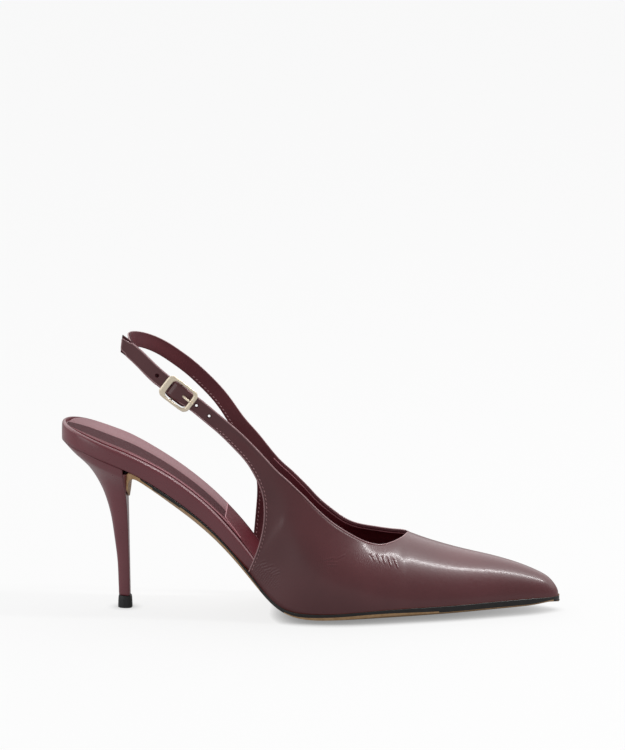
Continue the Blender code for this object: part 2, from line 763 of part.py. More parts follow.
def heel_row_at(height):
    heights = [row[3] * HEEL_RISE for row in HEEL]
    front = [row[1] * HEEL_SETBACK for row in HEEL]
    half = [row[4] * HEEL_SETBACK for row in HEEL]
    return float(np.interp(height, heights, front)), float(np.interp(height, heights, half))


def build_outsole(material):
    start = time_at((FLAP_BEND + HEEL_SETBACK) / LENGTH)
    shares = np.linspace(0, 1, 40)
    shares = 1 - (1 - shares) ** 1.25
    rings = [np.array(sole_ring(start + (PLAN_TIMES[-1] - start) * share)) for share in shares[::-1]]
    shank, ahead = rings[-1], rings[-2]
    slope = (ahead - shank)[:, 2] / (ahead - shank)[:, 0]
    count = len(shank)
    shares = np.array([2 * (point[1] - shank[:, 1].min()) / np.ptp(shank[:, 1]) - 1 for point in shank])
    inner = np.zeros(count, bool)
    inner[1 : 1 + 15] = True
    flap = []
    for height, half, thickness in FLAP:
        z = height * HEEL_RISE
        x = heel_row_at(z)[0] + BREAST_BULGE + GAP
        depth = np.where(inner, 0.0, thickness * HEEL_SETBACK)
        flap.append(np.stack([x + depth, shares * half * HEEL_SETBACK, np.full(count, z)], axis=1))
    first = flap[0]
    reach = shank[:, 0] - first[:, 0]
    near = np.where(inner, 0.93, 0.80)
    one = shank.copy()
    one[:, 0] -= reach * near
    one[:, 2] -= reach * near * slope
    two = first.copy()
    two[:, 2] += (one[:, 2] - first[:, 2]) * np.where(inner, 0.9, 0.62)
    two[:, 1] = shank[:, 1] * 0.70 + first[:, 1] * 0.30
    for step in range(1, 8):
        u = step / 8
        v = 1 - u
        rings.append(shank * v**3 + 3 * one * v * v * u + 3 * two * v * u * u + first * u**3)
    rings.extend(flap)
    points, faces = strip_loft(rings, 8)
    return welded(new_object("outsole", points, faces, material))


def seat_profile(steps):
    """Plan of the seat from its back to its breast, as shares of length and of half width, with times."""
    stop = time_at((HEEL_SETBACK + HEEL[-1][1] * HEEL_SETBACK) / LENGTH)
    rows = []
    for share in np.linspace(0, 1, steps + 1):
        rows.append((stop * share, *outline_point(stop * share, 1, 0.0004)))
    return rows


def build_heel(material):
    seat = seat_profile(14)
    xs = np.array([row[1] for row in seat])
    halves = np.array([row[2] for row in seat])
    length = (xs - xs[0]) / (xs[-1] - xs[0])
    width = halves / halves.max()
    rings = []
    row_at = cubic(range(len(HEEL)), HEEL)
    for part in range(2 * (len(HEEL) - 1) + 1):
        place = part / 2
        row = row_at(place)
        back, front = -row[0] * HEEL_SETBACK, row[1] * HEEL_SETBACK
        low, high = row[3] * HEEL_RISE, row[2] * HEEL_RISE
        half = row[4] * HEEL_SETBACK
        share = place / (len(HEEL) - 1)
        ring = []
        corner = 1 - 0.10 * np.clip((length - 0.80) / 0.20, 0, 1) ** 3 * (1 - share)
        for a, b in zip(length, width * corner):
            ring.append((back + (front - back) * a, half * b, high + (low - high) * a))
        rings.append(ring)
    top = []
    for time, x, y in seat:
        top.append((x, y, Section(time).feather - GAP))
    rings.append(top)
    full = []
    for ring in rings:
        bulge = BREAST_BULGE if ring is not top else 0.0
        x, y, z = ring[-1]
        front = [(x + bulge * 0.75, y * 0.5, z), (x + bulge, 0.0, z), (x + bulge * 0.75, -y * 0.5, z)]
        full.append(ring + front + [(a, -b, c) for a, b, c in ring[::-1][:-1]])
    count = len(full[0])
    points = [point for ring in full for point in ring]
    faces = []
    for i in range(len(full) - 1):
        for j in range(count):
            k = (j + 1) % count
            faces.append((i * count + j, i * count + k, (i + 1) * count + k, (i + 1) * count + j))
    for i, turned in ((0, True), (len(full) - 1, False)):
        base = i * count
        for j in range(len(seat) + 1):
            a, b, c, d = j, j + 1, (count - j - 1) % count, (count - j) % count
            corners = [a, b, c, d] if j else [a, b, c]
            quad = tuple(base + index for index in corners)
            if len(set(quad)) > 2:
                faces.append(quad[::-1] if turned else quad)
    return welded(new_object("heel", points, faces, material))


def build_top_piece(material):
    rings = []
    bevel = TOP_PIECE_HEIGHT - TOP_PIECE_BEVEL
    for height, grow in ((0.0, 0.6), (0.0004, 1.0), (bevel, 0.0), (TOP_PIECE_HEIGHT, -1.6)):
        back = -TIP_LENGTH * 0.5 - TOP_PIECE_MARGIN * grow
        front = TIP_LENGTH * 0.5 + TOP_PIECE_MARGIN * grow
        half = TIP_WIDTH * 0.5 + TOP_PIECE_MARGIN * grow
        ring = []
        for step in range(28):
            angle = 2 * math.pi * step / 28
            c, d = math.cos(angle), math.sin(angle)
            power = 0.55 if c > 0 else 0.9
            x = (front if c > 0 else -back) * math.copysign(abs(c) ** power, c)
            y = half * math.copysign(abs(d) ** (0.75 if c > 0 else 0.95), d)
            ring.append((x, y, height))
        rings.append(ring)
    points, faces = loft(rings)
    return new_object("top_piece", points, faces, material)


def strap_frames(form, sign):
    """Middle line of one strap from its free end forward: length from the end, place and axes."""
    ribs = form.side_ribs(sign, 2, 6)
    middle = np.array([(r[0] + r[-1]) / 2 for r in ribs])[::-1]
    across = np.array([r[-1] - r[0] for r in ribs])[::-1]
    steps = np.linalg.norm(np.diff(middle, axis=0), axis=1)
    length = np.concatenate([[0], np.cumsum(steps)])

    def at(distance):
        place = np.array([np.interp(distance, length, middle[:, k]) for k in range(3)])
        ahead = np.array([np.interp(distance + 0.002, length, middle[:, k]) for k in range(3)])
        ahead -= np.array([np.interp(distance - 0.002, length, middle[:, k]) for k in range(3)])
        ahead /= np.linalg.norm(ahead)
        up = np.array([np.interp(distance, length, across[:, k]) for k in range(3)])
        up -= ahead * (up @ ahead)
        up /= np.linalg.norm(up)
        out = np.cross(up, ahead)
        if out[1] > 0:
            out = -out
        return place, ahead, up, out

    return at


def in_frame(frame, rows):
    place, ahead, up, out = frame
    return [place + ahead * a + up * b + out * c for a, b, c in rows]


def rod_rings(path, radius, sides, side=(0.0, 1.0, 0.0)):
    """Rings of a rod along a path in the strap's own axes. Side is square to the whole path."""
    path = np.array(path, float)
    side = np.array(side)
    rings = []
    for i, point in enumerate(path):
        ahead = path[min(i + 1, len(path) - 1)] - path[max(i - 1, 0)]
        other = np.cross(ahead / np.linalg.norm(ahead), side)
        ring = []
        for step in range(sides):
            angle = 2 * math.pi * step / sides
            ring.append(point + radius * (side * math.cos(angle) + other * math.sin(angle)))
        rings.append(ring)
    return rings


def cutter(name, points, faces):
    obj = new_object(name, points, faces, None, smooth=False)
    obj.hide_render = True
    obj.display_type = "WIRE"
    return obj


def add_boolean(obj, other, operation):
    modifier = obj.modifiers.new(other.name, "BOOLEAN")
    modifier.object = other
    modifier.operation = operation
    modifier.solver = "EXACT"


def build_holes(upper, frames):
    for index in range(-2, 3):
        frame = frames(HOLE_FROM_END + index * HOLE_PITCH)
        path = [(0, 0, -WALL - HOLE_REACH), (0, 0, HOLE_REACH)]
        rings = [in_frame(frame, ring) for ring in rod_rings(path, HOLE_DIAMETER / 2, 12)]
        points, faces = loft(rings)
        add_boolean(upper, cutter(f"hole cutter {index + 3}", points, faces), "DIFFERENCE")


def rounded_ring(length, width, radius, steps):
    points = []
    for quarter in range(4):
        cx = (length / 2 - radius) * (1 if quarter in (0, 3) else -1)
        cy = (width / 2 - radius) * (1 if quarter in (0, 1) else -1)
        for step in range(steps + 1):
            angle = math.pi / 2 * (quarter + step / steps)
            points.append((cx + radius * math.cos(angle), cy + radius * math.sin(angle)))
    return points


def drawn_in(points, amount):
    """The outline with each point moved towards the middle by amount, along both axes."""
    middle = np.mean(points, axis=0)
    moved = []
    for x, y in points:
        dx, dy = x - middle[0], y - middle[1]
        x_step = math.copysign(min(abs(amount), abs(dx)), dx * amount)
        y_step = math.copysign(min(abs(amount), abs(dy)), dy * amount)
        moved.append((x - x_step, y - y_step))
    return moved


def build_buckle(material, frames):
    frame = frames(HOLE_FROM_END + BUCKLE_AHEAD)
    outer = rounded_ring(BUCKLE_LENGTH, BUCKLE_WIDTH, BUCKLE_CORNER, 5)
    window_length = BUCKLE_LENGTH - LEFT_BAR - RIGHT_BAR
    window = rounded_ring(window_length, BUCKLE_WIDTH - 2 * RAIL, WINDOW_CORNER, 5)
    window = [(x - (RIGHT_BAR - LEFT_BAR) / 2, y) for x, y in window]
    bottom, top = GAP, GAP + BUCKLE_THICKNESS
    small_outer = drawn_in(outer, BUCKLE_BEVEL)
    wide_window = drawn_in(window, -BUCKLE_BEVEL)
    rings = []
    for points, height in (
        (small_outer, bottom),
        (outer, bottom + BUCKLE_BEVEL),
        (outer, top - BUCKLE_BEVEL),
        (small_outer, top),
        (wide_window, top),
        (window, top - BUCKLE_BEVEL),
        (window, bottom + BUCKLE_BEVEL),
        (wide_window, bottom),
    ):
        rings.append(in_frame(frame, [(x, y, height) for x, y in points]))
    count = len(rings[0])
    points = [point for ring in rings for point in ring]
    faces = []
    for i in range(len(rings)):
        for j in range(count):
            k = (j + 1) % count
            n = (i + 1) % len(rings)
            faces.append((i * count + j, i * count + k, n * count + k, n * count + j))
    obj = new_object("buckle_frame", points, faces, material)
    add_boolean(obj, centre_bar(frame), "UNION")
    return obj


def centre_bar(frame):
    """The bar behind the strap: it dips from both rails to pass under the strap's inner face."""
    rail = BUCKLE_WIDTH / 2 - RAIL / 2
    depth = -(WALL + GAP + CENTRE_BAR / 2)
    root = GAP + CENTRE_BAR / 2
    half = [
        (rail, root),
        (rail, depth * 0.6),
        (rail - RAIL * 0.36, depth - CENTRE_BAR * 0.1),
        (rail - RAIL * 0.9, depth),
    ]
    path = [(CENTRE_BAR_PLACE, -y, z) for y, z in half] + [(CENTRE_BAR_PLACE, y, z) for y, z in half[::-1]]
    rings = [in_frame(frame, ring) for ring in rod_rings(path, CENTRE_BAR / 2, 10, (1.0, 0.0, 0.0))]
    points, faces = loft(rings)
    return cutter("centre bar", points, faces)


def build_prong(material, frames):
    """The prong comes up through its hole, bends over and lies on the frame's far bar."""
    frame = frames(HOLE_FROM_END)
    bar = BUCKLE_AHEAD + BUCKLE_LENGTH / 2 - RIGHT_BAR
    over = 2 * GAP + BUCKLE_THICKNESS + PRONG * 0.36
    rows = (
        (0.0, -PRONG_DEPTH, 1.0),
        (0.0, -PRONG * 1.2, 1.0),
        (0.0, -PRONG * 0.2, 1.0),
        (PRONG * 0.4, PRONG * 0.6, 1.0),
        (PRONG * 1.2, PRONG * 1.2, 1.0),
        (bar - PRONG * 1.6, over - PRONG * 0.2, 0.8),
        (bar - PRONG * 0.2, over, 0.72),
        (bar + RIGHT_BAR * 0.6, over, 0.7),
        (bar + RIGHT_BAR * 0.9, over, 0.45),
    )
    path = [(along, 0, height) for along, height, _ in rows]
    rings = []
    for ring, middle, row in zip(rod_rings(path, PRONG / 2, 10), path, rows):
        slim = row[2]
        rings.append(in_frame(frame, [np.array(middle) * (1 - slim) + point * slim for point in ring]))
    points, faces = loft(rings)
    return new_object("buckle_prong", points, faces, material)


def clear_scene():
    for obj in list(bpy.data.objects):
        bpy.data.objects.remove(obj, do_unlink=True)


def main():
    clear_scene()
    leather = finish("burgundy leather", (0.085, 0.030, 0.034), 0.35)
    sock_leather = finish("sock leather", (0.30, 0.045, 0.060), 0.40)
    sole_leather = finish("tan sole leather", (0.45, 0.27, 0.13), 0.50)
    rubber = finish("black rubber", (0.012, 0.012, 0.013), 0.45)
    gold = finish("pale gold", (0.80, 0.66, 0.46), 0.25, 1.0)
    form, upper = build_upper(leather)
    frames = strap_frames(form, -1)
    build_holes(upper, frames)
    build_buckle(gold, frames)
    build_prong(gold, frames)
    build_board(leather)
    build_sock(sock_leather)
    build_outsole(sole_leather)
    build_heel(leather)
    build_top_piece(rubber)


main()
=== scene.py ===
# %% [markdown]
# Slingback pump in burgundy leather
#
# This script dresses a finished construction model of a right shoe: a pointed slingback pump on a slender
# heel. The construction gives every piece its true size and place. Here each piece gets the surface that
# the real one has: glossy leather with fine grain, a pale line along the cut edge, which is a painted
# highlight, rows of stitches, a painted sole edge and a small polished buckle. Some colours also hold
# painted light or shade. Lengths are in metres.

import math

import bmesh
import bpy
import numpy as np
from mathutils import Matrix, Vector
from mathutils.bvhtree import BVHTree


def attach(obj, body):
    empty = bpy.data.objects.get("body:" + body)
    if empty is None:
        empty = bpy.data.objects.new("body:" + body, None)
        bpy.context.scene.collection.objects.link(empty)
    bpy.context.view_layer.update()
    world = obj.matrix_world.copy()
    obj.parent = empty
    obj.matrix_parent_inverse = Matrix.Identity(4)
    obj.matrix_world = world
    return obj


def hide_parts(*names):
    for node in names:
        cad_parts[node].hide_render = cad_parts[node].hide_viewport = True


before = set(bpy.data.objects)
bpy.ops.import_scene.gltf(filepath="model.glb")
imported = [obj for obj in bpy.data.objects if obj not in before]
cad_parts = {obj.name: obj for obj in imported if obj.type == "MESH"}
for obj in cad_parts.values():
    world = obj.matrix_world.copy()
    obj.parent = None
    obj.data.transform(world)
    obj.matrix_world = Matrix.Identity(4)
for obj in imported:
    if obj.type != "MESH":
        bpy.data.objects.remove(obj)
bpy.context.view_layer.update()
MM = 0.001
print("nodes:", sorted(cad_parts))


def link_object(name, data):
    """A new object in the scene that shows this mesh, camera or light."""
    obj = bpy.data.objects.new(name, data)
    bpy.context.scene.collection.objects.link(obj)
    return obj


# %% [markdown]
# The camera comes first, because every later choice is judged through it. A shop photograph of a shoe is
# taken with a long lens from a few metres away and a little above, so that the two sides of the sole stay
# almost parallel. The lens below is long for the same reason.

# %% Camera
CAMERA_AZIMUTH = math.radians(2.5)
CAMERA_TILT = math.radians(12.0)
CAMERA_PLACE = Vector((0.21907, -2.90396, 0.73519))
LENS = 292.3
SENSOR_WIDTH = 36
FARTHEST_SEEN = 60


def add_camera():
    data = bpy.data.cameras.new("camera")
    data.lens = LENS
    data.sensor_width = SENSOR_WIDTH
    data.clip_end = FARTHEST_SEEN
    camera = link_object("camera", data)
    back = Vector(
        (
            math.sin(CAMERA_AZIMUTH) * math.cos(CAMERA_TILT),
            -math.cos(CAMERA_AZIMUTH) * math.cos(CAMERA_TILT),
            math.sin(CAMERA_TILT),
        )
    )
    camera.location = CAMERA_PLACE
    camera.rotation_mode = "QUATERNION"
    camera.rotation_quaternion = (-back).to_track_quat("-Z", "Y")
    bpy.context.scene.camera = camera
    return camera


add_camera()
print("camera", tuple(round(c, 3) for c in CAMERA_PLACE), "lens", LENS)

# %% [markdown]
# Studio light for glossy leather is mostly large white surfaces: the shoe shows their reflections as soft
# pale bands. Small lamps would give hard white dots instead. Here one narrow strip hangs above the toe and
# draws the bright line along it, one large dim panel stands at the front left, and the world is a pale
# backdrop behind the shoe. The floor glows, nearly white to the camera alone and dim to other rays, so that
# it doesn't flood the underside with light. Where the sole comes close its glow is dimmed: a painted
# contact shadow.

# %% Floor and light
CONTACT_REACH = 0.006
CONTACT_DARKEST = 0.25
SHADE_REACH = 0.09
FLOOR_WHITE = 0.822
FLOOR_BOUNCE = 0.34
LEAST_BOUNCE = 0.02
FLOOR_REACH = 14.0
ROOM_LIGHT = 0.32
BACKDROP_LIGHT = (0.42, 1.60)
BACKDROP_RISE = (0.14, 0.40)
BACKDROP_START = (-0.25, 0.10)
STRIP_PLACE = (1.08, -0.09, 1.25)
STRIP_TARGET = (1.08, -0.09, 0.0)
LEFT_PLACE = (-0.95, -0.95, 0.40)
SHOE_MIDDLE = (0.09, 0.0, 0.06)


def principled(name):
    material = bpy.data.materials.new(name)
    material.use_nodes = True
    nodes = material.node_tree.nodes
    return material, nodes, material.node_tree.links, nodes["Principled BSDF"]


def math_node(nodes, links, operation, first, second=None, clamp=False):
    node = nodes.new("ShaderNodeMath")
    node.operation = operation
    node.use_clamp = clamp
    for socket, value in zip(node.inputs, (first, second)):
        if value is None:
            continue
        if isinstance(value, (int, float)):
            socket.default_value = value
        else:
            links.new(value, socket)
    return node.outputs[0]


def add_floor():
    mesh = bpy.data.meshes.new("floor")
    size = FLOOR_REACH
    corners = [(-size, -size, 0), (size, -size, 0), (size, size, 0), (-size, size, 0)]
    mesh.from_pydata(corners, [], [(0, 1, 2, 3)])
    floor = link_object("floor", mesh)
    material, nodes, links, shader = principled("white sweep")
    shader.inputs["Base Color"].default_value = (0.12, 0.12, 0.12, 1)
    shader.inputs["Roughness"].default_value = 0.9
    shader.inputs["Specular IOR Level"].default_value = 0.0

    # The floor's glow is multiplied by ambient occlusion, a painted contact shadow: tight for camera rays,
    # wide for every other ray.
    def glow_with_painted_shadow(reach, least, most):
        occlusion = nodes.new("ShaderNodeAmbientOcclusion")
        occlusion.inputs["Distance"].default_value = reach
        occlusion.samples = 8
        share = math_node(nodes, links, "MULTIPLY", occlusion.outputs["AO"], most - least)
        return math_node(nodes, links, "ADD", share, least)

    path = nodes.new("ShaderNodeLightPath")
    strength = nodes.new("ShaderNodeMix")
    links.new(path.outputs["Is Camera Ray"], strength.inputs["Factor"])
    links.new(glow_with_painted_shadow(SHADE_REACH, LEAST_BOUNCE, FLOOR_BOUNCE), strength.inputs["A"])
    links.new(glow_with_painted_shadow(CONTACT_REACH, CONTACT_DARKEST, FLOOR_WHITE), strength.inputs["B"])
    shader.inputs["Emission Color"].default_value = (1, 1, 1, 1)
    links.new(strength.outputs["Result"], shader.inputs["Emission Strength"])
    mesh.materials.append(material)
    return floor


def add_panel(name, place, target, width, height, power):
    data = bpy.data.lights.new(name, "AREA")
    data.shape = "RECTANGLE"
    data.size = width
    data.size_y = height
    data.energy = power
    light = link_object(name, data)
    light.location = place
    light.rotation_mode = "QUATERNION"
    light.rotation_quaternion = (Vector(target) - Vector(place)).to_track_quat("-Z", "Y")
    return light


def add_world(front, low, high):
    """A dim room in front of the shoe, and behind it a backdrop that goes from grey up to white."""
    world = bpy.data.worlds.new("studio")
    world.use_nodes = True
    nodes = world.node_tree.nodes
    links = world.node_tree.links
    coords = nodes.new("ShaderNodeTexCoord")
    split = nodes.new("ShaderNodeSeparateXYZ")
    links.new(coords.outputs["Generated"], split.inputs["Vector"])

    def rise(axis, start, stop, before, after):
        step = nodes.new("ShaderNodeMapRange")
        step.interpolation_type = "SMOOTHSTEP"
        step.inputs["From Min"].default_value = start
        step.inputs["From Max"].default_value = stop
        step.inputs["To Min"].default_value = before
        if isinstance(after, float):
            step.inputs["To Max"].default_value = after
        else:
            links.new(after, step.inputs["To Max"])
        links.new(split.outputs[axis], step.inputs["Value"])
        return step.outputs["Result"]

    backdrop = rise("Z", *BACKDROP_RISE, low, high)
    links.new(rise("Y", *BACKDROP_START, front, backdrop), nodes["Background"].inputs["Strength"])
    nodes["Background"].inputs["Color"].default_value = (1, 1, 1, 1)
    bpy.context.scene.world = world


add_floor()
add_world(ROOM_LIGHT, *BACKDROP_LIGHT)
add_panel("strip", STRIP_PLACE, STRIP_TARGET, width=1.1, height=0.07, power=11.0)
add_panel("left", LEFT_PLACE, SHOE_MIDDLE, width=1.1, height=1.0, power=4.0)
bpy.context.scene.view_settings.view_transform = "Standard"

# %% [markdown]
# Smooth leather is not one flat colour. The dye lies unevenly, a fine grain breaks up the gloss, and where
# the leather bends at the ball and at the holes it has tiny wrinkles. One function mixes the leather for
# all pieces: colour variation in two sizes, a fine grain as bump, and wrinkles only near given places.

# %% Leather
CLOUD_SCALE = 38
CELL_SCALE = 1500
PORE_SCALE = 700
GRAIN_HEIGHT = 0.00008


def ramp(nodes, links, factor, low, high, low_colour, high_colour):
    """Colour that goes from one to the other while the factor rises from low to high."""
    node = nodes.new("ShaderNodeValToRGB")
    node.color_ramp.elements[0].position = low
    node.color_ramp.elements[1].position = high
    node.color_ramp.elements[0].color = (*low_colour, 1)
    node.color_ramp.elements[1].color = (*high_colour, 1)
    links.new(factor, node.inputs["Fac"])
    return node.outputs["Color"]


def object_place(nodes):
    return nodes.new("ShaderNodeTexCoord").outputs["Object"]


def noise(nodes, links, place, scale, detail=2.0):
    node = nodes.new("ShaderNodeTexNoise")
    node.inputs["Scale"].default_value = scale
    node.inputs["Detail"].default_value = detail
    links.new(place, node.inputs["Vector"])
    return node.outputs["Fac"]


def relief(nodes, links, height, strength, distance, below=None):
    """Bump from a height texture, laid over another bump where one is given."""
    node = nodes.new("ShaderNodeBump")
    node.inputs["Strength"].default_value = strength
    node.inputs["Distance"].default_value = distance
    links.new(height, node.inputs["Height"])
    if below is not None:
        links.new(below, node.inputs["Normal"])
    return node.outputs["Normal"]


def wrinkles(nodes, links, place, middle, reach, turn, scale):
    """Height of fine parallel wrinkles that fade out from a middle, in the piece's own coordinates."""
    mapping = nodes.new("ShaderNodeMapping")
    mapping.vector_type = "TEXTURE"
    mapping.inputs["Location"].default_value = middle
    mapping.inputs["Rotation"].default_value = turn
    mapping.inputs["Scale"].default_value = reach
    links.new(place, mapping.inputs["Vector"])
    distance = nodes.new("ShaderNodeVectorMath")
    distance.operation = "LENGTH"
    links.new(mapping.outputs["Vector"], distance.inputs[0])
    fade = math_node(nodes, links, "SUBTRACT", 1.0, distance.outputs["Value"], clamp=True)
    fade = math_node(nodes, links, "POWER", fade, 0.7)
    wave = nodes.new("ShaderNodeTexWave")
    wave.inputs["Scale"].default_value = scale
    wave.inputs["Distortion"].default_value = 5.0
    wave.inputs["Detail"].default_value = 2.0
    wave.inputs["Detail Scale"].default_value = 1.6
    links.new(mapping.outputs["Vector"], wave.inputs["Vector"])
    return math_node(nodes, links, "MULTIPLY", wave.outputs["Fac"], fade)


def leather(name, dark, light, roughness, grain=0.2, spots=(), specular=0.5, coat=0.0):
    material, nodes, links, shader = principled(name)
    place = object_place(nodes)
    cloud = noise(nodes, links, place, CLOUD_SCALE, 5)
    links.new(ramp(nodes, links, cloud, 0.35, 0.68, dark, light), shader.inputs["Base Color"])
    cells = nodes.new("ShaderNodeTexVoronoi")
    cells.inputs["Scale"].default_value = CELL_SCALE
    links.new(place, cells.inputs["Vector"])
    pores = noise(nodes, links, place, PORE_SCALE, 4)
    height = math_node(nodes, links, "MULTIPLY", cells.outputs["Distance"], 0.6)
    height = math_node(nodes, links, "ADD", height, pores)
    normal = relief(nodes, links, height, grain, GRAIN_HEIGHT)
    for middle, reach, turn, scale, depth in spots:
        fold = wrinkles(nodes, links, place, middle, reach, turn, scale)
        normal = relief(nodes, links, fold, 1.0, depth, normal)
    links.new(normal, shader.inputs["Normal"])
    gloss = ramp(nodes, links, pores, 0.3, 0.75, (roughness - 0.05,) * 3, (roughness + 0.08,) * 3)
    links.new(gloss, shader.inputs["Roughness"])
    shader.inputs["Specular IOR Level"].default_value = specular
    shader.inputs["Coat Weight"].default_value = coat
    shader.inputs["Coat Roughness"].default_value = 0.17
    return material


def sock_leather_painted_light():
    """Deep red on the near half as painted shade, paler on the far half as painted sheen."""
    material, nodes, links, shader = principled("red sock leather with painted sheen and shade")
    across = nodes.new("ShaderNodeAttribute")
    across.attribute_name = "across"
    # Painted light: deep red towards the near side as painted shade, pale pink towards the far side as
    # painted sheen.
    tint = ramp(nodes, links, across.outputs["Fac"], 0.52, 0.84, (0.145, 0.013, 0.023), (0.27, 0.125, 0.140))
    links.new(tint, shader.inputs["Base Color"])
    pores = noise(nodes, links, object_place(nodes), 900)
    links.new(relief(nodes, links, pores, 0.06, GRAIN_HEIGHT), shader.inputs["Normal"])
    shader.inputs["Roughness"].default_value = 0.36
    shader.inputs["Specular IOR Level"].default_value = 0.25
    return material


# Each spot of fine wrinkles: its middle, its reach, its turn, how many wrinkles, and their depth.
UPPER_WRINKLES = (
    ((0.0700, -0.0275, 0.0235), (0.0110, 0.02, 0.0050), (0, 0.60, 0), 3.2, 0.00012),
    ((0.1000, -0.0340, 0.0300), (0.0060, 0.02, 0.0060), (0, 0.10, 0), 1.8, 0.00006),
    ((0.1230, -0.0230, 0.0320), (0.0110, 0.02, 0.0070), (0, 0.30, 0), 3.4, 0.00010),
)
burgundy = leather(
    "burgundy leather", (0.096, 0.0185, 0.0230), (0.116, 0.0245, 0.0300), 0.38, spots=UPPER_WRINKLES, coat=0.5
)
burgundy_cover = leather(
    "burgundy heel and board cover",
    (0.165, 0.029, 0.041),
    (0.185, 0.035, 0.049),
    0.32,
    grain=0.05,
    specular=0.8,
    coat=0.2,
)
lining = leather("red lining leather", (0.105, 0.012, 0.020), (0.140, 0.020, 0.028), 0.42)
sock_red = sock_leather_painted_light()
forefoot_red = leather("forefoot lining", (0.105, 0.012, 0.020), (0.130, 0.018, 0.026), 0.5, specular=0.3)
# The dark edge paint is the real paint of the upper's cut edge and holes, and it is also painted shade on the
# sock's sides and on the patch behind the buckle.
edge_paint_and_painted_shade = leather("dark edge paint and painted shade", (0.050, 0.009, 0.013), (0.070, 0.014, 0.019), 0.60, specular=0.12)
# The folded edge is several times paler than the leather: a painted highlight on the round fold.
fold = leather("folded edge", (0.33, 0.175, 0.185), (0.42, 0.245, 0.255), 0.24, specular=0.7)
# The folded lining is pale too: a painted highlight on the lining's edge and on the sock's cut edges.
lining_fold_highlight = leather("folded lining, painted highlight", (0.42, 0.16, 0.19), (0.52, 0.22, 0.25), 0.35)
thread = leather("burgundy thread", (0.33, 0.16, 0.17), (0.45, 0.25, 0.26), 0.45, grain=0.6)
LEATHERS = (burgundy, burgundy_cover, lining, sock_red, forefoot_red, edge_paint_and_painted_shade, fold, lining_fold_highlight, thread)
print("leathers:", [material.name for material in LEATHERS])

# %% [markdown]
# The sole is firm tan leather with a black painted edge. The heel tip is moulded black rubber. The buckle
# is polished, pale gold plate.

# %% Sole, rubber and metal
def tan_sole():
    material, nodes, links, shader = principled("tan sole leather")
    fibre = noise(nodes, links, object_place(nodes), 420, 6)
    tint = ramp(nodes, links, fibre, 0.3, 0.7, (0.40, 0.225, 0.10), (0.56, 0.35, 0.18))
    links.new(tint, shader.inputs["Base Color"])
    links.new(relief(nodes, links, fibre, 0.25, 0.0001), shader.inputs["Normal"])
    shader.inputs["Roughness"].default_value = 0.5
    return material


def black(name, colour, roughness, scale):
    material, nodes, links, shader = principled(name)
    mottle = noise(nodes, links, object_place(nodes), scale, 4)
    tint = ramp(nodes, links, mottle, 0.3, 0.8, colour, tuple(c * 1.9 for c in colour))
    links.new(tint, shader.inputs["Base Color"])
    links.new(relief(nodes, links, mottle, 0.3, 0.00006), shader.inputs["Normal"])
    shader.inputs["Roughness"].default_value = roughness
    return material


def pale_gold():
    material, nodes, links, shader = principled("pale gold plate")
    haze = noise(nodes, links, object_place(nodes), 900, 3)
    links.new(ramp(nodes, links, haze, 0.3, 0.8, (0.28,) * 3, (0.32,) * 3), shader.inputs["Roughness"])
    shader.inputs["Base Color"].default_value = (0.98, 0.85, 0.66, 1)
    shader.inputs["Metallic"].default_value = 0.45
    return material


tan = tan_sole()
painted_edge = black("black edge paint", (0.012, 0.011, 0.011), 0.38, 300)
rubber = black("black heel rubber", (0.016, 0.016, 0.017), 0.48, 800)
gold = pale_gold()
print("sole, rubber and metal:", [material.name for material in (tan, painted_edge, rubber, gold)])

# %% [markdown]
# The construction model's meshes are loose triangles with just enough facets for their shape. For a close
# look each piece is copied, its points are merged, its triangles are joined to squares again and the
# surface is subdivided. Edges that should stay crisp are marked with a crease first.

# %% Fine copies of the construction pieces
MERGE_REACH = 2e-6


def subdivide(obj, levels, on_limit=True):
    modifier = obj.modifiers.new("subdivide", "SUBSURF")
    modifier.levels = levels
    modifier.render_levels = levels
    modifier.use_limit_surface = on_limit


def apply_modifiers(obj, name):
    """Turns what the modifiers make into the object's own plain mesh."""
    made = bpy.data.meshes.new_from_object(obj.evaluated_get(bpy.context.evaluated_depsgraph_get()))
    obj.modifiers.clear()
    obj.data = made
    made.name = name
    print(name, "faces", len(made.polygons))
    return obj


def fine_copy(node, name, crease_angle, crease, levels, paint=None):
    """A smooth copy of a node. paint(bm, sharp) may set each face's material index before subdivision."""
    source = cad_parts[node]
    bm = bmesh.new()
    bm.from_mesh(source.data)
    bmesh.ops.remove_doubles(bm, verts=bm.verts, dist=MERGE_REACH)
    bmesh.ops.join_triangles(
        bm,
        faces=bm.faces,
        angle_face_threshold=math.radians(28),
        angle_shape_threshold=math.radians(65),
    )
    bm.normal_update()
    layer = bm.edges.layers.float.new("crease_edge")
    pairs = (edge for edge in bm.edges if len(edge.link_faces) == 2)
    sharp = {edge for edge in pairs if edge.calc_face_angle() > crease_angle}
    for edge in sharp:
        edge[layer] = crease
    for face in bm.faces:
        face.smooth = True
    if paint:
        paint(bm, sharp)
    mesh = bpy.data.meshes.new(name)
    bm.to_mesh(mesh)
    bm.free()
    obj = link_object(name, mesh)
    subdivide(obj, levels, on_limit=False)
    return apply_modifiers(obj, name)


def dress(obj, node, materials):
    for material in materials:
        obj.data.materials.append(material)
    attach(obj, "root")
    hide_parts(node)
    return obj


# %% [markdown]
# The upper is one sheet of leather with its lining. Seen from outside it is burgundy, inside it is redder,
# and its narrow cut edge is painted dark; the pale line all round the opening is a cord added later, whose
# colour is a painted highlight. Each face of the copy is sorted by where it looks: away from the foot,
# towards it, or along the sheet.

# %% Upper
OUTSIDE, EDGE, INSIDE = 0, 1, 2
FEWEST_FACES = 20
HEEL_MIDDLE, TOE_MIDDLE = 0.014, 0.190
VAMP_START, VAMP_LENGTH = 0.060, 0.060
FOOT_ASIDE, FOOT_LOW = 0.002, 0.006


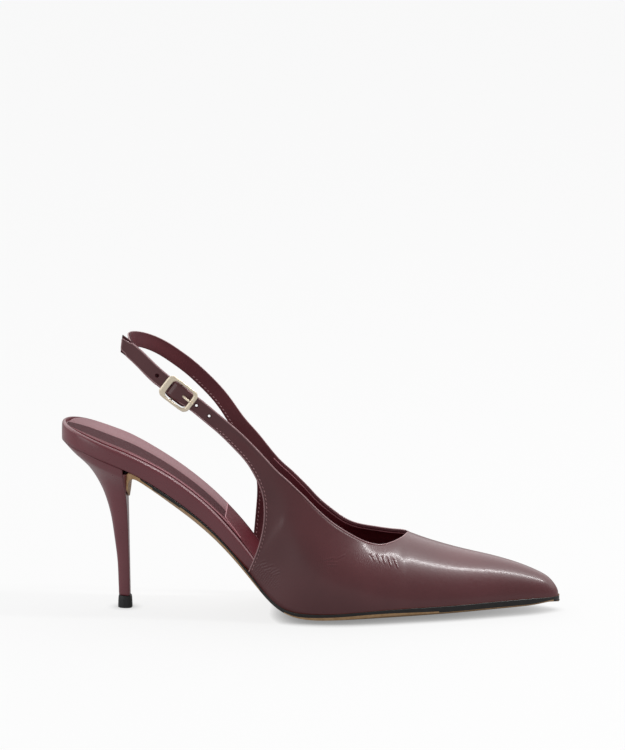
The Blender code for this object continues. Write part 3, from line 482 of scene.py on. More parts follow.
def foot_middle(point):
    """A point in the middle of the foot, level with the given point behind the vamp and low under it."""
    along = min(max(point.x, HEEL_MIDDLE), TOE_MIDDLE)
    under = min(max((point.x - VAMP_START) / VAMP_LENGTH, 0.0), 1.0)
    height = point.z * (1 - under) + FOOT_LOW * under
    return Vector((along, FOOT_ASIDE, height))


def connected_faces(faces, sharp):
    """Groups of faces that meet across soft edges."""
    left = set(faces)
    groups = []
    for start in faces:
        if start not in left:
            continue
        left.discard(start)
        group = [start]
        for face in group:
            for edge in face.edges:
                for other in edge.link_faces if edge not in sharp else ():
                    if other in left:
                        left.discard(other)
                        group.append(other)
        groups.append(group)
    return groups


def sort_upper(bm, sharp):
    rest = []
    for face in bm.faces:
        if sum(edge in sharp for edge in face.edges) >= 2:
            face.material_index = EDGE
        else:
            rest.append(face)
    for group in connected_faces(rest, sharp):
        outward = 0.0
        for face in group:
            centre = face.calc_center_median()
            outward += face.calc_area() * face.normal.dot((centre - foot_middle(centre)).normalized())
        kind = OUTSIDE if outward > 0 else INSIDE
        if len(group) < FEWEST_FACES:
            kind = EDGE
        for face in group:
            face.material_index = kind


upper = fine_copy("upper", "upper_leather", math.radians(50), 0.72, 2, sort_upper)

# %% [markdown]
# Where the foot bends the shoe, leather folds into small creases: soft ridges with a shallow trough beside
# each one. A bump texture could draw them, but the highlight beside the throat runs over them, so they are
# made in the mesh. The faces round each crease are cut finer, and then the points are moved along their
# normals. Where each crease starts and ends is listed below.

# %% Creases of the upper
CREASE_WIDTH = 0.36
CREASE_HEIGHT = 0.11
CREASE_MARGIN = 1.6
TROUGH_SHARE = 0.6
TROUGH_ASIDE = 1.5
# Each crease on the outer side, in millimetres: where it starts and ends, along the shoe and up.
CREASES = (
    (66.6, 27.1, 70.7, 28.8),
    (68.4, 29.6, 70.2, 30.3),
    (69.4, 26.7, 73.7, 28.4),
    (69.9, 24.9, 72.7, 26.3),
    (71.9, 24.6, 75.3, 26.8),
    (73.7, 24.3, 77.0, 26.2),
    (74.7, 23.6, 77.0, 24.7),
    (101.2, 31.3, 105.1, 31.1),
    (101.2, 29.9, 105.1, 29.7),
    (99.3, 32.4, 103.6, 33.1),
    (105.1, 32.6, 108.9, 34.0),
    (122.0, 33.0, 123.2, 31.2),
    (124.8, 32.4, 126.0, 30.2),
    (127.6, 31.6, 128.6, 29.2),
    (130.2, 30.8, 131.4, 28.0),
    (133.2, 30.0, 134.6, 27.0),
)


def crease_height(x, z):
    """Height of the soft ridge of each crease, with a shallow trough beneath it, in millimetres."""
    height = 0.0
    for x1, z1, x2, z2 in CREASES:
        length = math.hypot(x2 - x1, z2 - z1)
        along = ((x - x1) * (x2 - x1) + (z - z1) * (z2 - z1)) / length
        aside = ((z - z1) * (x2 - x1) - (x - x1) * (z2 - z1)) / length
        past = max(-along, along - length, 0.0)
        fade = math.exp(-((past / (2 * CREASE_WIDTH)) ** 2))
        ridge = math.exp(-((aside / CREASE_WIDTH) ** 2))
        trough = math.exp(-(((aside + TROUGH_ASIDE * CREASE_WIDTH) / CREASE_WIDTH) ** 2))
        height += CREASE_HEIGHT * fade * (ridge - TROUGH_SHARE * trough)
    return height


def near_crease(place):
    x, z = place.x / MM, place.z / MM
    for x1, z1, x2, z2 in CREASES:
        inside_x = min(x1, x2) - CREASE_MARGIN < x < max(x1, x2) + CREASE_MARGIN
        inside_z = min(z1, z2) - CREASE_MARGIN < z < max(z1, z2) + CREASE_MARGIN
        if inside_x and inside_z and place.y < 0:
            return True
    return False


def crease_upper(obj):
    bm = bmesh.new()
    bm.from_mesh(obj.data)
    chosen = [f for f in bm.faces if f.material_index == OUTSIDE and near_crease(f.calc_center_median())]
    edges = list(dict.fromkeys(edge for face in chosen for edge in face.edges))
    bmesh.ops.subdivide_edges(bm, edges=edges, cuts=3, use_grid_fill=True, smooth=1.0)
    bm.normal_update()
    moves = []
    for vert in bm.verts:
        outside = any(face.material_index == OUTSIDE for face in vert.link_faces)
        if outside and near_crease(vert.co):
            moves.append((vert, vert.normal * crease_height(vert.co.x / MM, vert.co.z / MM) * MM))
    for vert, move in moves:
        vert.co += move
    bm.to_mesh(obj.data)
    bm.free()
    print("creases", len(CREASES), "moved points", len(moves), "faces", len(obj.data.polygons))


crease_upper(upper)
dress(upper, "upper", (burgundy, edge_paint_and_painted_shade, lining))

# %% [markdown]
# A folded leather edge is slightly round, so it catches the light as one thin line. Here a thin round cord
# lies along it, and its pale colour is a painted highlight. Just inside it runs a row of short stitches.
# Both follow the edge of the sheet, so the edge is read from the piece itself: it is the line where the
# outer face meets the narrow edge face.

# %% Edge lines of the upper
def rim_lines(obj, side):
    """Closed lines between the edge faces and one side, longest first: places, normals, ways inward."""
    bm = bmesh.new()
    bm.from_mesh(obj.data)
    bm.normal_update()
    links = {}
    normals = {}
    inner = {}
    for edge in bm.edges:
        kinds = [face.material_index for face in edge.link_faces]
        if sorted(kinds) != sorted((EDGE, side)):
            continue
        face = edge.link_faces[kinds.index(side)]
        for vert in edge.verts:
            links.setdefault(vert, []).append(edge)
            normals.setdefault(vert, Vector((0, 0, 0)))
            normals[vert] += face.normal
            inner.setdefault(vert, Vector((0, 0, 0)))
            inner[vert] += (face.calc_center_median() - vert.co) * 0.5
    lines = []
    left = set(links)
    while left:
        start = min(left, key=lambda vert: (len(links[vert]), vert.index))
        line = [start]
        left.discard(start)
        ahead = True
        while ahead:
            ahead = False
            for edge in links[line[-1]]:
                other = edge.other_vert(line[-1])
                if other in left:
                    left.discard(other)
                    line.append(other)
                    ahead = True
                    break
        lines.append(line)
    found = []
    for line in sorted(lines, key=len, reverse=True):
        places = np.array([tuple(vert.co) for vert in line])
        up = np.array([tuple(normals[vert].normalized()) for vert in line])
        inward = np.array([tuple(inner[vert]) for vert in line])
        found.append((places, up, inward))
    bm.free()
    return found


outer_rim, *hole_rims = rim_lines(upper, OUTSIDE)
inner_rim = rim_lines(upper, INSIDE)[0]
print("hole rims", [len(rim[0]) for rim in hole_rims])
for name, line in (("outer", outer_rim), ("inner", inner_rim)):
    steps = np.linalg.norm(np.roll(line[0], -1, axis=0) - line[0], axis=1)
    print(name, "rim", len(line[0]), "points", round(float(steps.sum()), 3), "m")

# %% [markdown]
# A line on the leather is a stretch of that rim, between named places, in even steps. It can be moved inward
# and laid back on the surface, and then carries a thin round cord. Blender's curves with a bevel could make
# the cord too, but rings set one by one keep their direction where the rim turns sharply.

# %% Lines on the leather
MEDIAL_CORNER = (0.0627, 0.0230, 0.0244)
LATERAL_CORNER = (0.0621, -0.0249, 0.0243)
INNER_STRAP_END = (0.0172, -0.0240, 0.1170)
UPPER_STRAP_END = (0.0150, -0.0235, 0.1272)
LATERAL_STRAP = (0.0508, -0.0278, 0.0912)
MEDIAL_STRAP = (0.0508, 0.0278, 0.0860)
LINE_STEP = 0.0005
FOLD_RADIUS = 0.00037
FOLD_INWARD = 0.00016
FOLD_DOWN = 0.00014
surface_of_upper = BVHTree.FromObject(upper, bpy.context.evaluated_depsgraph_get())


def nearest_index(places, place):
    return int(np.argmin(np.linalg.norm(places - np.array(place), axis=1)))


def smoothed(rows, times):
    for _ in range(times):
        inner = 0.25 * rows[:-2] + 0.5 * rows[1:-1] + 0.25 * rows[2:]
        rows = np.vstack([rows[:1], inner, rows[-1:]])
    return rows


def unit(rows):
    return rows / np.linalg.norm(rows, axis=1)[:, None]


def span(rim, start, via, end, passes=6):
    """The part of a rim from start through via to end, in even steps: places, normals and ways inward."""
    places = rim[0]
    count = len(places)
    first, middle, last = (nearest_index(places, place) for place in (start, via, end))
    forward = [(first + i) % count for i in range((last - first) % count + 1)]
    backward = [(first - i) % count for i in range((first - last) % count + 1)]
    chosen = forward if middle in forward else backward
    rows = [smoothed(part[chosen], passes) for part in rim]
    along = np.concatenate([[0], np.cumsum(np.linalg.norm(np.diff(rows[0], axis=0), axis=1))])
    steps = np.linspace(0, along[-1], int(along[-1] / LINE_STEP))
    rows = [
        np.stack([np.interp(steps, along, part[:, axis]) for axis in range(3)], axis=1)
        for part in rows
    ]
    places, up, inward = rows[0], unit(rows[1]), rows[2]
    tangent = unit(np.gradient(places, axis=0))
    across = unit(np.cross(up, tangent))
    across *= np.sign((across * inward).sum(axis=1))[:, None]
    return places, up, unit(smoothed(across, passes))


def beside(line, inset, lift):
    """A line on the leather, moved inward from the edge and then lifted off the surface."""
    places, up, across = line
    moved = places + across * inset
    rows = []
    normals = []
    for place, normal in zip(moved, up):
        near, direction, _, _ = surface_of_upper.find_nearest(Vector(place))
        if direction.dot(Vector(normal)) < 0.3:
            near, direction = Vector(place), Vector(normal)
        rows.append(tuple(near))
        normals.append(tuple(direction))
    normals = unit(smoothed(np.array(normals), 8))
    return smoothed(np.array(rows), 8) + normals * lift, normals


def solid_of_rings(name, rings, around=False, smooth=True):
    """A closed mesh through rings of places, with a cap at each end or, with around, joined end to end."""
    bm = bmesh.new()
    loops = [[bm.verts.new(place) for place in ring] for ring in rings]
    for low, high in zip(loops, loops[1:] + (loops[:1] if around else [])):
        for i in range(len(low)):
            j = (i + 1) % len(low)
            bm.faces.new((low[i], low[j], high[j], high[i]))
    if not around:
        bm.faces.new(reversed(loops[0]))
        bm.faces.new(loops[-1])
    bmesh.ops.recalc_face_normals(bm, faces=bm.faces)
    for face in bm.faces:
        face.smooth = smooth
    mesh = bpy.data.meshes.new(name)
    bm.to_mesh(mesh)
    bm.free()
    return link_object(name, mesh)


def sweep(name, places, up, radius, sides=6):
    """A thin round cord along a line, closed at both ends."""
    tangent = unit(np.gradient(places, axis=0))
    across = unit(np.cross(up, tangent))
    up = np.cross(tangent, across)
    angles = [2 * math.pi * i / sides for i in range(sides)]
    rings = [
        [place + radius * (math.cos(angle) * a + math.sin(angle) * b) for angle in angles]
        for place, a, b in zip(places, across, up)
    ]
    return solid_of_rings(name, rings)


def carried(obj, material):
    obj.data.materials.append(material)
    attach(obj, "root")
    return obj


lateral_edge = span(outer_rim, LATERAL_CORNER, LATERAL_STRAP, UPPER_STRAP_END)
medial_edge = span(outer_rim, MEDIAL_CORNER, MEDIAL_STRAP, INNER_STRAP_END)
for name, line in (("fold_lateral", lateral_edge), ("fold_medial", medial_edge)):
    places, up, across = line
    middle = places + across * FOLD_INWARD - up * FOLD_DOWN
    carried(sweep(name, middle, up, FOLD_RADIUS), fold)
    print(name, len(places), "steps of", LINE_STEP * 1000, "mm")

# %% [markdown]
# A stitch is a short loop of thread that lies on the leather and dives into it at both ends, here a slim
# capsule half sunk in the surface. A row repeats it at an even pitch along its line, which is the work of
# Geometry Nodes: the tree resamples the line, sets one capsule at each point and turns it along the line.

# %% Stitch tree
LEAST_SLANT, MOST_SLANT = 0.75, 1.25


def stitch_tree():
    tree = bpy.data.node_groups.new("stitch row", "GeometryNodeTree")
    face = tree.interface
    face.new_socket("Line", in_out="INPUT", socket_type="NodeSocketGeometry")
    for name in ("Pitch", "Length", "Thickness", "Slant"):
        face.new_socket(name, in_out="INPUT", socket_type="NodeSocketFloat")
    face.new_socket("Seed", in_out="INPUT", socket_type="NodeSocketInt")
    face.new_socket("Thread", in_out="INPUT", socket_type="NodeSocketMaterial")
    face.new_socket("Stitches", in_out="OUTPUT", socket_type="NodeSocketGeometry")
    new = tree.nodes.new
    start = new("NodeGroupInput")
    end = new("NodeGroupOutput")
    curve = new("GeometryNodeMeshToCurve")
    points = new("GeometryNodeCurveToPoints")
    points.mode = "LENGTH"
    up = new("GeometryNodeInputNamedAttribute")
    up.data_type = "FLOAT_VECTOR"
    up.inputs["Name"].default_value = "up"
    along = new("FunctionNodeAlignRotationToVector")
    along.axis = "X"
    upright = new("FunctionNodeAlignRotationToVector")
    upright.axis = "Z"
    upright.pivot_axis = "X"
    chance = new("FunctionNodeRandomValue")
    chance.data_type = "FLOAT"
    chance.inputs[2].default_value = LEAST_SLANT
    chance.inputs[3].default_value = MOST_SLANT
    slant = new("ShaderNodeMath")
    slant.operation = "MULTIPLY"
    turn = new("ShaderNodeCombineXYZ")
    as_turn = new("FunctionNodeEulerToRotation")
    turned = new("FunctionNodeRotateRotation")
    turned.rotation_space = "LOCAL"
    ball = new("GeometryNodeMeshUVSphere")
    ball.inputs["Segments"].default_value = 8
    ball.inputs["Rings"].default_value = 6
    ball.inputs["Radius"].default_value = 0.5
    size = new("ShaderNodeCombineXYZ")
    shape = new("GeometryNodeTransform")
    copies = new("GeometryNodeInstanceOnPoints")
    real = new("GeometryNodeRealizeInstances")
    smooth = new("GeometryNodeSetShadeSmooth")
    finish = new("GeometryNodeSetMaterial")
    # Each link: from a node's output to a node's input. The random value's float output is number 1.
    for source, output, target, entry in (
        (start, "Line", curve, "Mesh"),
        (curve, "Curve", points, "Curve"),
        (start, "Pitch", points, "Length"),
        (points, "Tangent", along, "Vector"),
        (along, "Rotation", upright, "Rotation"),
        (up, "Attribute", upright, "Vector"),
        (start, "Seed", chance, "Seed"),
        (chance, 1, slant, 0),
        (start, "Slant", slant, 1),
        (slant, 0, turn, "Z"),
        (turn, "Vector", as_turn, "Euler"),
        (upright, "Rotation", turned, "Rotation"),
        (as_turn, "Rotation", turned, "Rotate By"),
        (start, "Length", size, "X"),
        (start, "Thickness", size, "Y"),
        (start, "Thickness", size, "Z"),
        (ball, "Mesh", shape, "Geometry"),
        (size, "Vector", shape, "Scale"),
        (points, "Points", copies, "Points"),
        (shape, "Geometry", copies, "Instance"),
        (turned, "Rotation", copies, "Rotation"),
        (copies, "Instances", real, "Geometry"),
        (real, "Geometry", smooth, "Geometry"),
        (smooth, "Geometry", finish, "Geometry"),
        (start, "Thread", finish, "Material"),
        (finish, "Geometry", end, "Stitches"),
    ):
        tree.links.new(source.outputs[output], target.inputs[entry])
    return tree


STITCHES = stitch_tree()
STITCH_PITCH = 0.0020
STITCH_LENGTH = 0.0014
THREAD_THICKNESS = 0.00052
STITCH_SLANT = 0.22


def stitch_row(name, places, up, seed):
    mesh = bpy.data.meshes.new(name)
    edges = [(i, i + 1) for i in range(len(places) - 1)]
    mesh.from_pydata([tuple(place) for place in places], edges, [])
    attribute = mesh.attributes.new("up", "FLOAT_VECTOR", "POINT")
    attribute.data.foreach_set("vector", np.asarray(up, np.float32).ravel())
    obj = link_object(name, mesh)
    modifier = obj.modifiers.new("stitches", "NODES")
    modifier.node_group = STITCHES
    values = {
        "Pitch": STITCH_PITCH,
        "Length": STITCH_LENGTH,
        "Thickness": THREAD_THICKNESS,
        "Slant": STITCH_SLANT,
        "Seed": seed,
        "Thread": thread,
    }
    for socket in STITCHES.interface.items_tree:
        if socket.name in values:
            modifier[socket.identifier] = values[socket.name]
    apply_modifiers(obj, name)
    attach(obj, "root")
    return obj


# %% [markdown]
# The rows run along the cut-out's edge and up both straps. Each shows outside in the burgundy leather and
# again inside in the lining, so there are four. The outer rows follow the outer rim and the inner rows the
# inner one, and each stops where the strap narrows to its holes.

# %% Stitch rows
STITCH_INSET = 0.0013
STITCH_LIFT = 0.00006
LEFT_OUT_FIRST, LEFT_OUT_LAST = 4, 2
STRAP_BEFORE_HOLES = (0.0460, -0.0278, 0.0955)
MEDIAL_STRAP_BACK = (0.0300, 0.0268, 0.1100)
lateral_row = span(outer_rim, LATERAL_CORNER, (0.070, -0.0279, 0.0569), STRAP_BEFORE_HOLES)
medial_row = span(outer_rim, MEDIAL_CORNER, (0.0636, 0.0272, 0.0468), MEDIAL_STRAP_BACK)
lateral_inside = span(inner_rim, LATERAL_CORNER, (0.070, -0.0264, 0.0569), STRAP_BEFORE_HOLES)
medial_inside = span(inner_rim, MEDIAL_CORNER, (0.0636, 0.0257, 0.0468), MEDIAL_STRAP_BACK)
rows = (
    ("stitches_lateral", lateral_row),
    ("stitches_medial", medial_row),
    ("stitches_lateral_inside", lateral_inside),
    ("stitches_medial_inside", medial_inside),
)
for number, (name, line) in enumerate(rows):
    places, up = beside(line, STITCH_INSET, STITCH_LIFT)
    kept = slice(LEFT_OUT_FIRST, -LEFT_OUT_LAST)
    stitch_row(name, places[kept], up[kept], seed=number + 1)

# %% [markdown]
# Inside the topline the lining ends in its own folded edge, a light line just under the dark rim of the far
# side. It is the same kind of cord, laid on the inner face, and its pale colour is a painted highlight.

# %% Lining edge inside the topline
LINING_START = (0.0780, -0.0270, 0.0620)
LINING_THROAT = (0.1350, 0.0, 0.0350)
LINING_END = (0.0700, 0.0265, 0.0680)
LINING_INSET = 0.0013
LINING_LIFT = 0.00002
LINING_RADIUS = 0.00030
lining_edge = span(inner_rim, LINING_START, LINING_THROAT, LINING_END)
places, up = beside(lining_edge, LINING_INSET, LINING_LIFT)
carried(sweep("lining_edge", places, up, LINING_RADIUS), lining_fold_highlight)
print("lining edge", round(len(places) * LINE_STEP, 3), "m")

# %% [markdown]
# A punched hole shows the dark painted cut of the leather as a thin ring. Every short closed line between
# the outer face and the edge is such a rim, so each one gets a ring of dark paint.

# %% Hole edges
HOLE_EDGE = 0.00024
HOLE_SINK = 0.00008
for number, (places, up, _) in enumerate(hole_rims):
    ring = np.vstack([places, places[:1]])
    ring_up = unit(np.vstack([up, up[:1]]))
    name = f"hole_edge_{number + 1}"
    carried(sweep(name, ring - ring_up * HOLE_SINK, ring_up, HOLE_EDGE), edge_paint_and_painted_shade)
print("hole edges", len(hole_rims))

# %% [markdown]
# The board under the foot and the heel are both covered in leather, glued on and pulled tight, so they are
# smoother than the upper and shine a little more. The heel stands on a small block of black rubber, the part
# that is renewed when it wears. Their shapes are whole in the construction, so fine copies are enough.

# %% Board, heel and top piece
COVER_ANGLE = math.radians(50)
board = fine_copy("insole_board", "board_cover", COVER_ANGLE, 0.9, 2)
dress(board, "insole_board", (burgundy_cover,))
heel = fine_copy("heel", "heel_cover", COVER_ANGLE, 0.85, 2)
dress(heel, "heel", (burgundy_cover,))
top_piece = fine_copy("top_piece", "heel_tip", COVER_ANGLE, 0.8, 2)
dress(top_piece, "top_piece", (rubber,))

# %% [markdown]
# The sock is the glossy pad that the heel rests on. It is glued on top of the board's tray with its cut
# edge standing a little proud, and its middle is pressed down by the foot, so it is slightly cupped. That
# cup gives part of its look: the far half turns to the backdrop and shines, the near half stays deep red.
# The colour paints the rest: paler across the far half as painted sheen, deeper red on the near half as
# painted shade, and dark edge paint on its sides as painted shade in the groove along them. Its front
# ends in a slanted line, and duller lining goes on under the vamp.

# %% Sock
SOCK_LIFT = 0.0012
SOCK_CUP = 0.0029
CUP_END = 0.070
SOCK_FRONT = 0.0497
FRONT_SLANT = 0.75
FRONT_BEND = -0.006
NEAR_INSET = 0.0030
CUP_FADE = 0.045
NEAR_FROM, NEAR_TO = 0.036, 0.060
RAY_START, RAY_LENGTH = 0.0001, 0.004
GLUED_HEIGHT, SOCK_THICKNESS = 0.0004, 0.0012
LEAST_HALF = 1e-6
STEEP = 0.35


def smooth_step(value, start, stop):
    share = min(max((value - start) / (stop - start), 0.0), 1.0)
    return share * share * (3 - 2 * share)


def width_at(mesh, step=0.002):
    """Middle and half width of a piece as functions of the place along the shoe."""
    places = np.array([tuple(vert.co) for vert in mesh.vertices])
    rows = []
    for start in np.arange(places[:, 0].min(), places[:, 0].max(), step):
        part = places[(places[:, 0] >= start) & (places[:, 0] < start + step)]
        if len(part) > 3:
            middle = (part[:, 1].max() + part[:, 1].min()) / 2
            rows.append((part[:, 0].mean(), middle, np.ptp(part[:, 1]) / 2))
    along, middles, halves = np.array(rows).T
    return lambda place: (np.interp(place, along, middles), np.interp(place, along, halves))


def sock_front(across):
    """Where the sock ends along the shoe: straight on the far side, slanting forward on the near side."""
    return SOCK_FRONT + FRONT_SLANT * max(FRONT_BEND - across, 0.0)


def shape_sock(obj, tray):
    sides = width_at(obj.data)
    for vert in obj.data.vertices:
        place = vert.co
        middle, half = sides(place.x)
        share = (place.y - middle) / max(half, LEAST_HALF)
        hit = tray.ray_cast(place + Vector((0, 0, RAY_START)), Vector((0, 0, -1)), RAY_LENGTH)
        above = hit[3] if hit[0] is not None else 0.0
        top = min(max((above - GLUED_HEIGHT) / SOCK_THICKNESS, 0.0), 1.0)
        fade = 1 - smooth_step(place.x, CUP_FADE, CUP_END)
        place.z += top * (SOCK_LIFT * fade - SOCK_CUP * fade * max(1 - share * share, 0.0))
        if share < 0:
            dent = smooth_step(place.x, NEAR_FROM, NEAR_TO)
            place.y += NEAR_INSET * dent * share * share


def paint_sock(obj):
    sides = width_at(obj.data)
    # across runs from 0 on the near side to 1 on the far side; the sock's colour turns it into painted shade
    # and painted sheen.
    across = obj.data.attributes.new("across", "FLOAT", "POINT")
    for vert in obj.data.vertices:
        middle, half = sides(vert.co.x)
        share = float((vert.co.y - middle) / max(half, LEAST_HALF))
        across.data[vert.index].value = 0.5 + 0.5 * share
    # Faces past the front get the forefoot lining. Faces that don't face up get the dark edge paint, here
    # painted shade for the groove along the sock's side.
    for face in obj.data.polygons:
        x, y, _ = face.center
        if x > sock_front(y):
            face.material_index = 1
        elif face.normal.z < STEEP:
            face.material_index = 2


sock = fine_copy("sock_lining", "sock", math.radians(60), 0.5, 3)
shape_sock(sock, BVHTree.FromObject(board, bpy.context.evaluated_depsgraph_get()))
sock.data.update()
dress(sock, "sock_lining", (sock_red, forefoot_red, edge_paint_and_painted_shade))
paint_sock(sock)
print("sock cup", SOCK_CUP * 1000, "mm")

# %% [markdown]
# The sock's cut edges catch the light as two thin lines, one across its front and one along its near side.
# Each is a cord whose pale colour is a painted highlight.
# Each is drawn flat as seen from above and then dropped on the sock with rays.

# %% Lines along the sock
SOCK_LINE = 0.00028
DROP_FROM = 0.2
FRONT_NEAR, FRONT_FAR = 0.90, 0.97
SIDE_START, SIDE_END, SIDE_SHARE = 0.004, 0.052, 0.97
on_sock = BVHTree.FromObject(sock, bpy.context.evaluated_depsgraph_get())
sock_sides = width_at(sock.data)


def drop_on_sock(rows):
    hits = [on_sock.ray_cast(Vector((x, y, DROP_FROM)), Vector((0, 0, -1))) for x, y in rows]
    places = [tuple(hit[0]) for hit in hits if hit[0] is not None]
    normals = [tuple(hit[1]) for hit in hits if hit[0] is not None]
    return smoothed(np.array(places), 4), unit(smoothed(np.array(normals), 4))


middle, half = sock_sides(SOCK_FRONT)
front_reach = np.linspace(middle - half * FRONT_NEAR, middle + half * FRONT_FAR, 60)
front_rows = [(sock_front(y), y) for y in front_reach]
near_rows = []
for x in np.linspace(SIDE_START, SIDE_END, 90):
    middle, half = sock_sides(x)
    near_rows.append((x, middle - half * SIDE_SHARE))
for name, rows in (("sock_front_edge", front_rows), ("sock_near_edge", near_rows)):
    places, up = drop_on_sock(rows)
    carried(sweep(name, places, up, SOCK_LINE), lining_fold_highlight)
    print(name, len(places), "places")

# %% [markdown]
# The outsole is a thin plate of firm leather. Its edge is cut square, rounded with glass and painted black,
# and it stands half a millimetre proud of the upper all round the forefoot. Under the paint a narrow bevel
# stays bare and shows as a tan line.

# %% Outsole
EDGE_FROM = 0.0085
PROUD = 0.0005
LAP = 0.0012
BEVEL_OUT = 0.0001
BEND_BAND = 0.0030
WAIST_BAND = 0.0004
BALL_BAND = 0.0014
LEAST_BAND = 0.0002
TOE_FROM = 0.198
TOE_TIP = 0.2136
TOE_SPRING = 0.0012
UPRIGHT_FACE = 0.55
UPRIGHT_EDGE = 0.9
DOWNWARD = -0.6


def edge_moves(along):
    """How far the painted edge's upper line moves out and up, and its lower line up, at a place."""
    ball = smooth_step(along, 0.075, 0.095)
    toe = smooth_step(along, TOE_FROM, TOE_TIP)
    return PROUD * ball * (1 - 0.6 * toe), LAP * ball * (1 - 0.5 * toe), TOE_SPRING * toe


def bare_band(along):
    """Height of the edge's bare lower part: all of it at the bend, little at the waist, more at the ball."""
    bend = 1 - smooth_step(along, 0.0085, 0.0150)
    waist = smooth_step(along, 0.028, 0.034) * (1 - smooth_step(along, 0.060, 0.074))
    ball = smooth_step(along, 0.080, 0.098) * (1 - smooth_step(along, 0.118, 0.160))
    return BEND_BAND * bend + WAIST_BAND * waist + BALL_BAND * ball


def place_key(place):
    return tuple(round(c * 1e6) for c in place)


def shape_sole(bm, sharp):
    moves = {}
    upright = {}
    for face in bm.faces:
        painted = abs(face.normal.z) < UPRIGHT_FACE and face.calc_center_median().x > EDGE_FROM
        face.material_index = 1 if painted else 0
        if not painted:
            continue
        flat = Vector((face.normal.x, face.normal.y, 0)).normalized()
        for edge in face.edges:
            low, high = sorted(edge.verts, key=lambda vert: vert.co.z)
            if (high.co - low.co).normalized().z > UPRIGHT_EDGE:
                upright[edge] = (low, high)
                moves.setdefault(low, (False, []))[1].append(flat)
                moves.setdefault(high, (True, []))[1].append(flat)
    for vert, (upper_line, ways) in moves.items():
        out, up, low_up = edge_moves(vert.co.x)
        way = sum(ways, Vector((0, 0, 0))).normalized()
        if upper_line:
            vert.co += way * out + Vector((0, 0, up))
        else:
            vert.co += way * BEVEL_OUT + Vector((0, 0, low_up))
    for vert in bm.verts:
        if vert not in moves and all(face.normal.z < DOWNWARD for face in vert.link_faces):
            vert.co.z += edge_moves(vert.co.x)[2]
    middles = {}
    feet = set()
    for low, high in upright.values():
        band = bare_band(low.co.x)
        share = min(max(band, LEAST_BAND) / (high.co.z - low.co.z), 0.9)
        middles[place_key((low.co + high.co) / 2)] = low.co.lerp(high.co, share)
        if band > LEAST_BAND:
            feet.add(place_key(low.co))
    bmesh.ops.subdivide_edges(bm, edges=list(upright), cuts=1)
    for vert in bm.verts:
        key = place_key(vert.co)
        if key in middles:
            vert.co = middles[key]
        elif key in feet:
            for face in vert.link_faces:
                face.material_index = 0


sole = fine_copy("outsole", "sole", math.radians(40), 0.8, 2, shape_sole)
dress(sole, "outsole", (tan, painted_edge))

# %% [markdown]
# Between the heel, the seat and the bend of the sole there is a small hollow. On the real shoe the heel's
# cover is drawn into it. Rays forward from the heel and back from its side measure the hollow level by
# level, and the levels are joined to one solid.

# %% Leather between heel and flap
FILL_STEPS = 26
FILL_LOW = 0.0605
FILL_HIGH = 0.0800
DEEPEST_FILL = 0.012
SIDE_BEHIND = 0.0012
FILL_BACK, FILL_FRONT, FILL_SIDE = 0.0015, 0.0002, 0.0001
FILL_ROUND = 0.0012


def fill_breast():
    """The heel's cover fills the hollow between the heel, the seat and the bend of the sole."""
    graph = bpy.context.evaluated_depsgraph_get()
    on_heel = BVHTree.FromObject(heel, graph)
    on_sole = BVHTree.FromObject(sole, graph)
    rows = []
    for z in np.linspace(FILL_LOW, FILL_HIGH, FILL_STEPS):
        back = on_heel.ray_cast(Vector((0.05, 0, z)), Vector((-1, 0, 0)))[0]
        if back is None:
            continue
        front = on_sole.ray_cast(back + Vector((0.00002, 0, 0)), Vector((1, 0, 0)))[0]
        side = on_heel.ray_cast(Vector((back.x - SIDE_BEHIND, -0.05, z)), Vector((0, 1, 0)))[0]
        if front is None or side is None or front.x - back.x > DEEPEST_FILL:
            continue
        rows.append((z, back.x - FILL_BACK, front.x + FILL_FRONT, abs(side.y) - FILL_SIDE))
    rings = []
    for z, back, front, half in rows:
        turn = min(FILL_ROUND, (front - back) * 0.4)
        near = [(back, -half), (front - turn, -half), (front, turn - half)]
        rings.append([(x, y, z) for x, y in near + [(x, -y) for x, y in near[::-1]]])
    obj = solid_of_rings("breast_fill", rings, smooth=False)
    deepest = max(front - back for _, back, front, _ in rows)
    print("breast fill", len(rows), "levels, deepest", round(deepest / MM, 1), "mm")
    return carried(obj, burgundy_cover)


fill_breast()

# %% [markdown]
# The buckle is cast: a frame with cut corners and soft edges, a wide bar at the strap's free end, and a thin
# bar behind the strap. The strap climbs over that bar, so a small dome of leather fills the window, with
# dark gaps round it. The frame is drawn in the construction frame's own directions, found from its mesh.

# %% Buckle directions
FRAME_THICKNESS = 0.0012


def main_ways(places):
    middle = places.mean(axis=0)
    ways = np.linalg.svd(places - middle, full_matrices=False)[2]
    return middle, ways


def buckle_ways():
    """Middle of the frame's upper face and its directions: along the strap, across it and outward."""
    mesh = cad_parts["buckle_frame"].data
    places = np.array([tuple(vert.co) for vert in mesh.vertices])
    middle, ways = main_ways(places)
    out = ways[2] if ways[2][1] < 0 else -ways[2]
    heights = (places - middle) @ out
    flat = places[heights > heights.max() - FRAME_THICKNESS * 1.2]
    middle, ways = main_ways(flat)
    along = ways[0] if ways[0][0] > 0 else -ways[0]
    out = ways[2] if ways[2][1] < 0 else -ways[2]
    across = np.cross(out, along)
    for way in (along, across):
        reach = (flat - middle) @ way
        middle = middle + way * (reach.max() + reach.min()) / 2
    return middle + out * ((flat - middle) @ out).max(), along, across, out


buckle_top, buckle_along, buckle_across, buckle_out = buckle_ways()


def on_buckle(along, across, out):
    return buckle_top + along * buckle_along + across * buckle_across + out * buckle_out


print("buckle at", [round(float(c), 4) for c in buckle_top])

# %% [markdown]
# The frame is lofted through eight outlines: up the outer wall, over the face, down the window and back
# below. Each outline is a rectangle whose corners are cut again and again, which gives the cast look of
# straight bars with soft turns. The bar behind the strap is a thin bent rod.

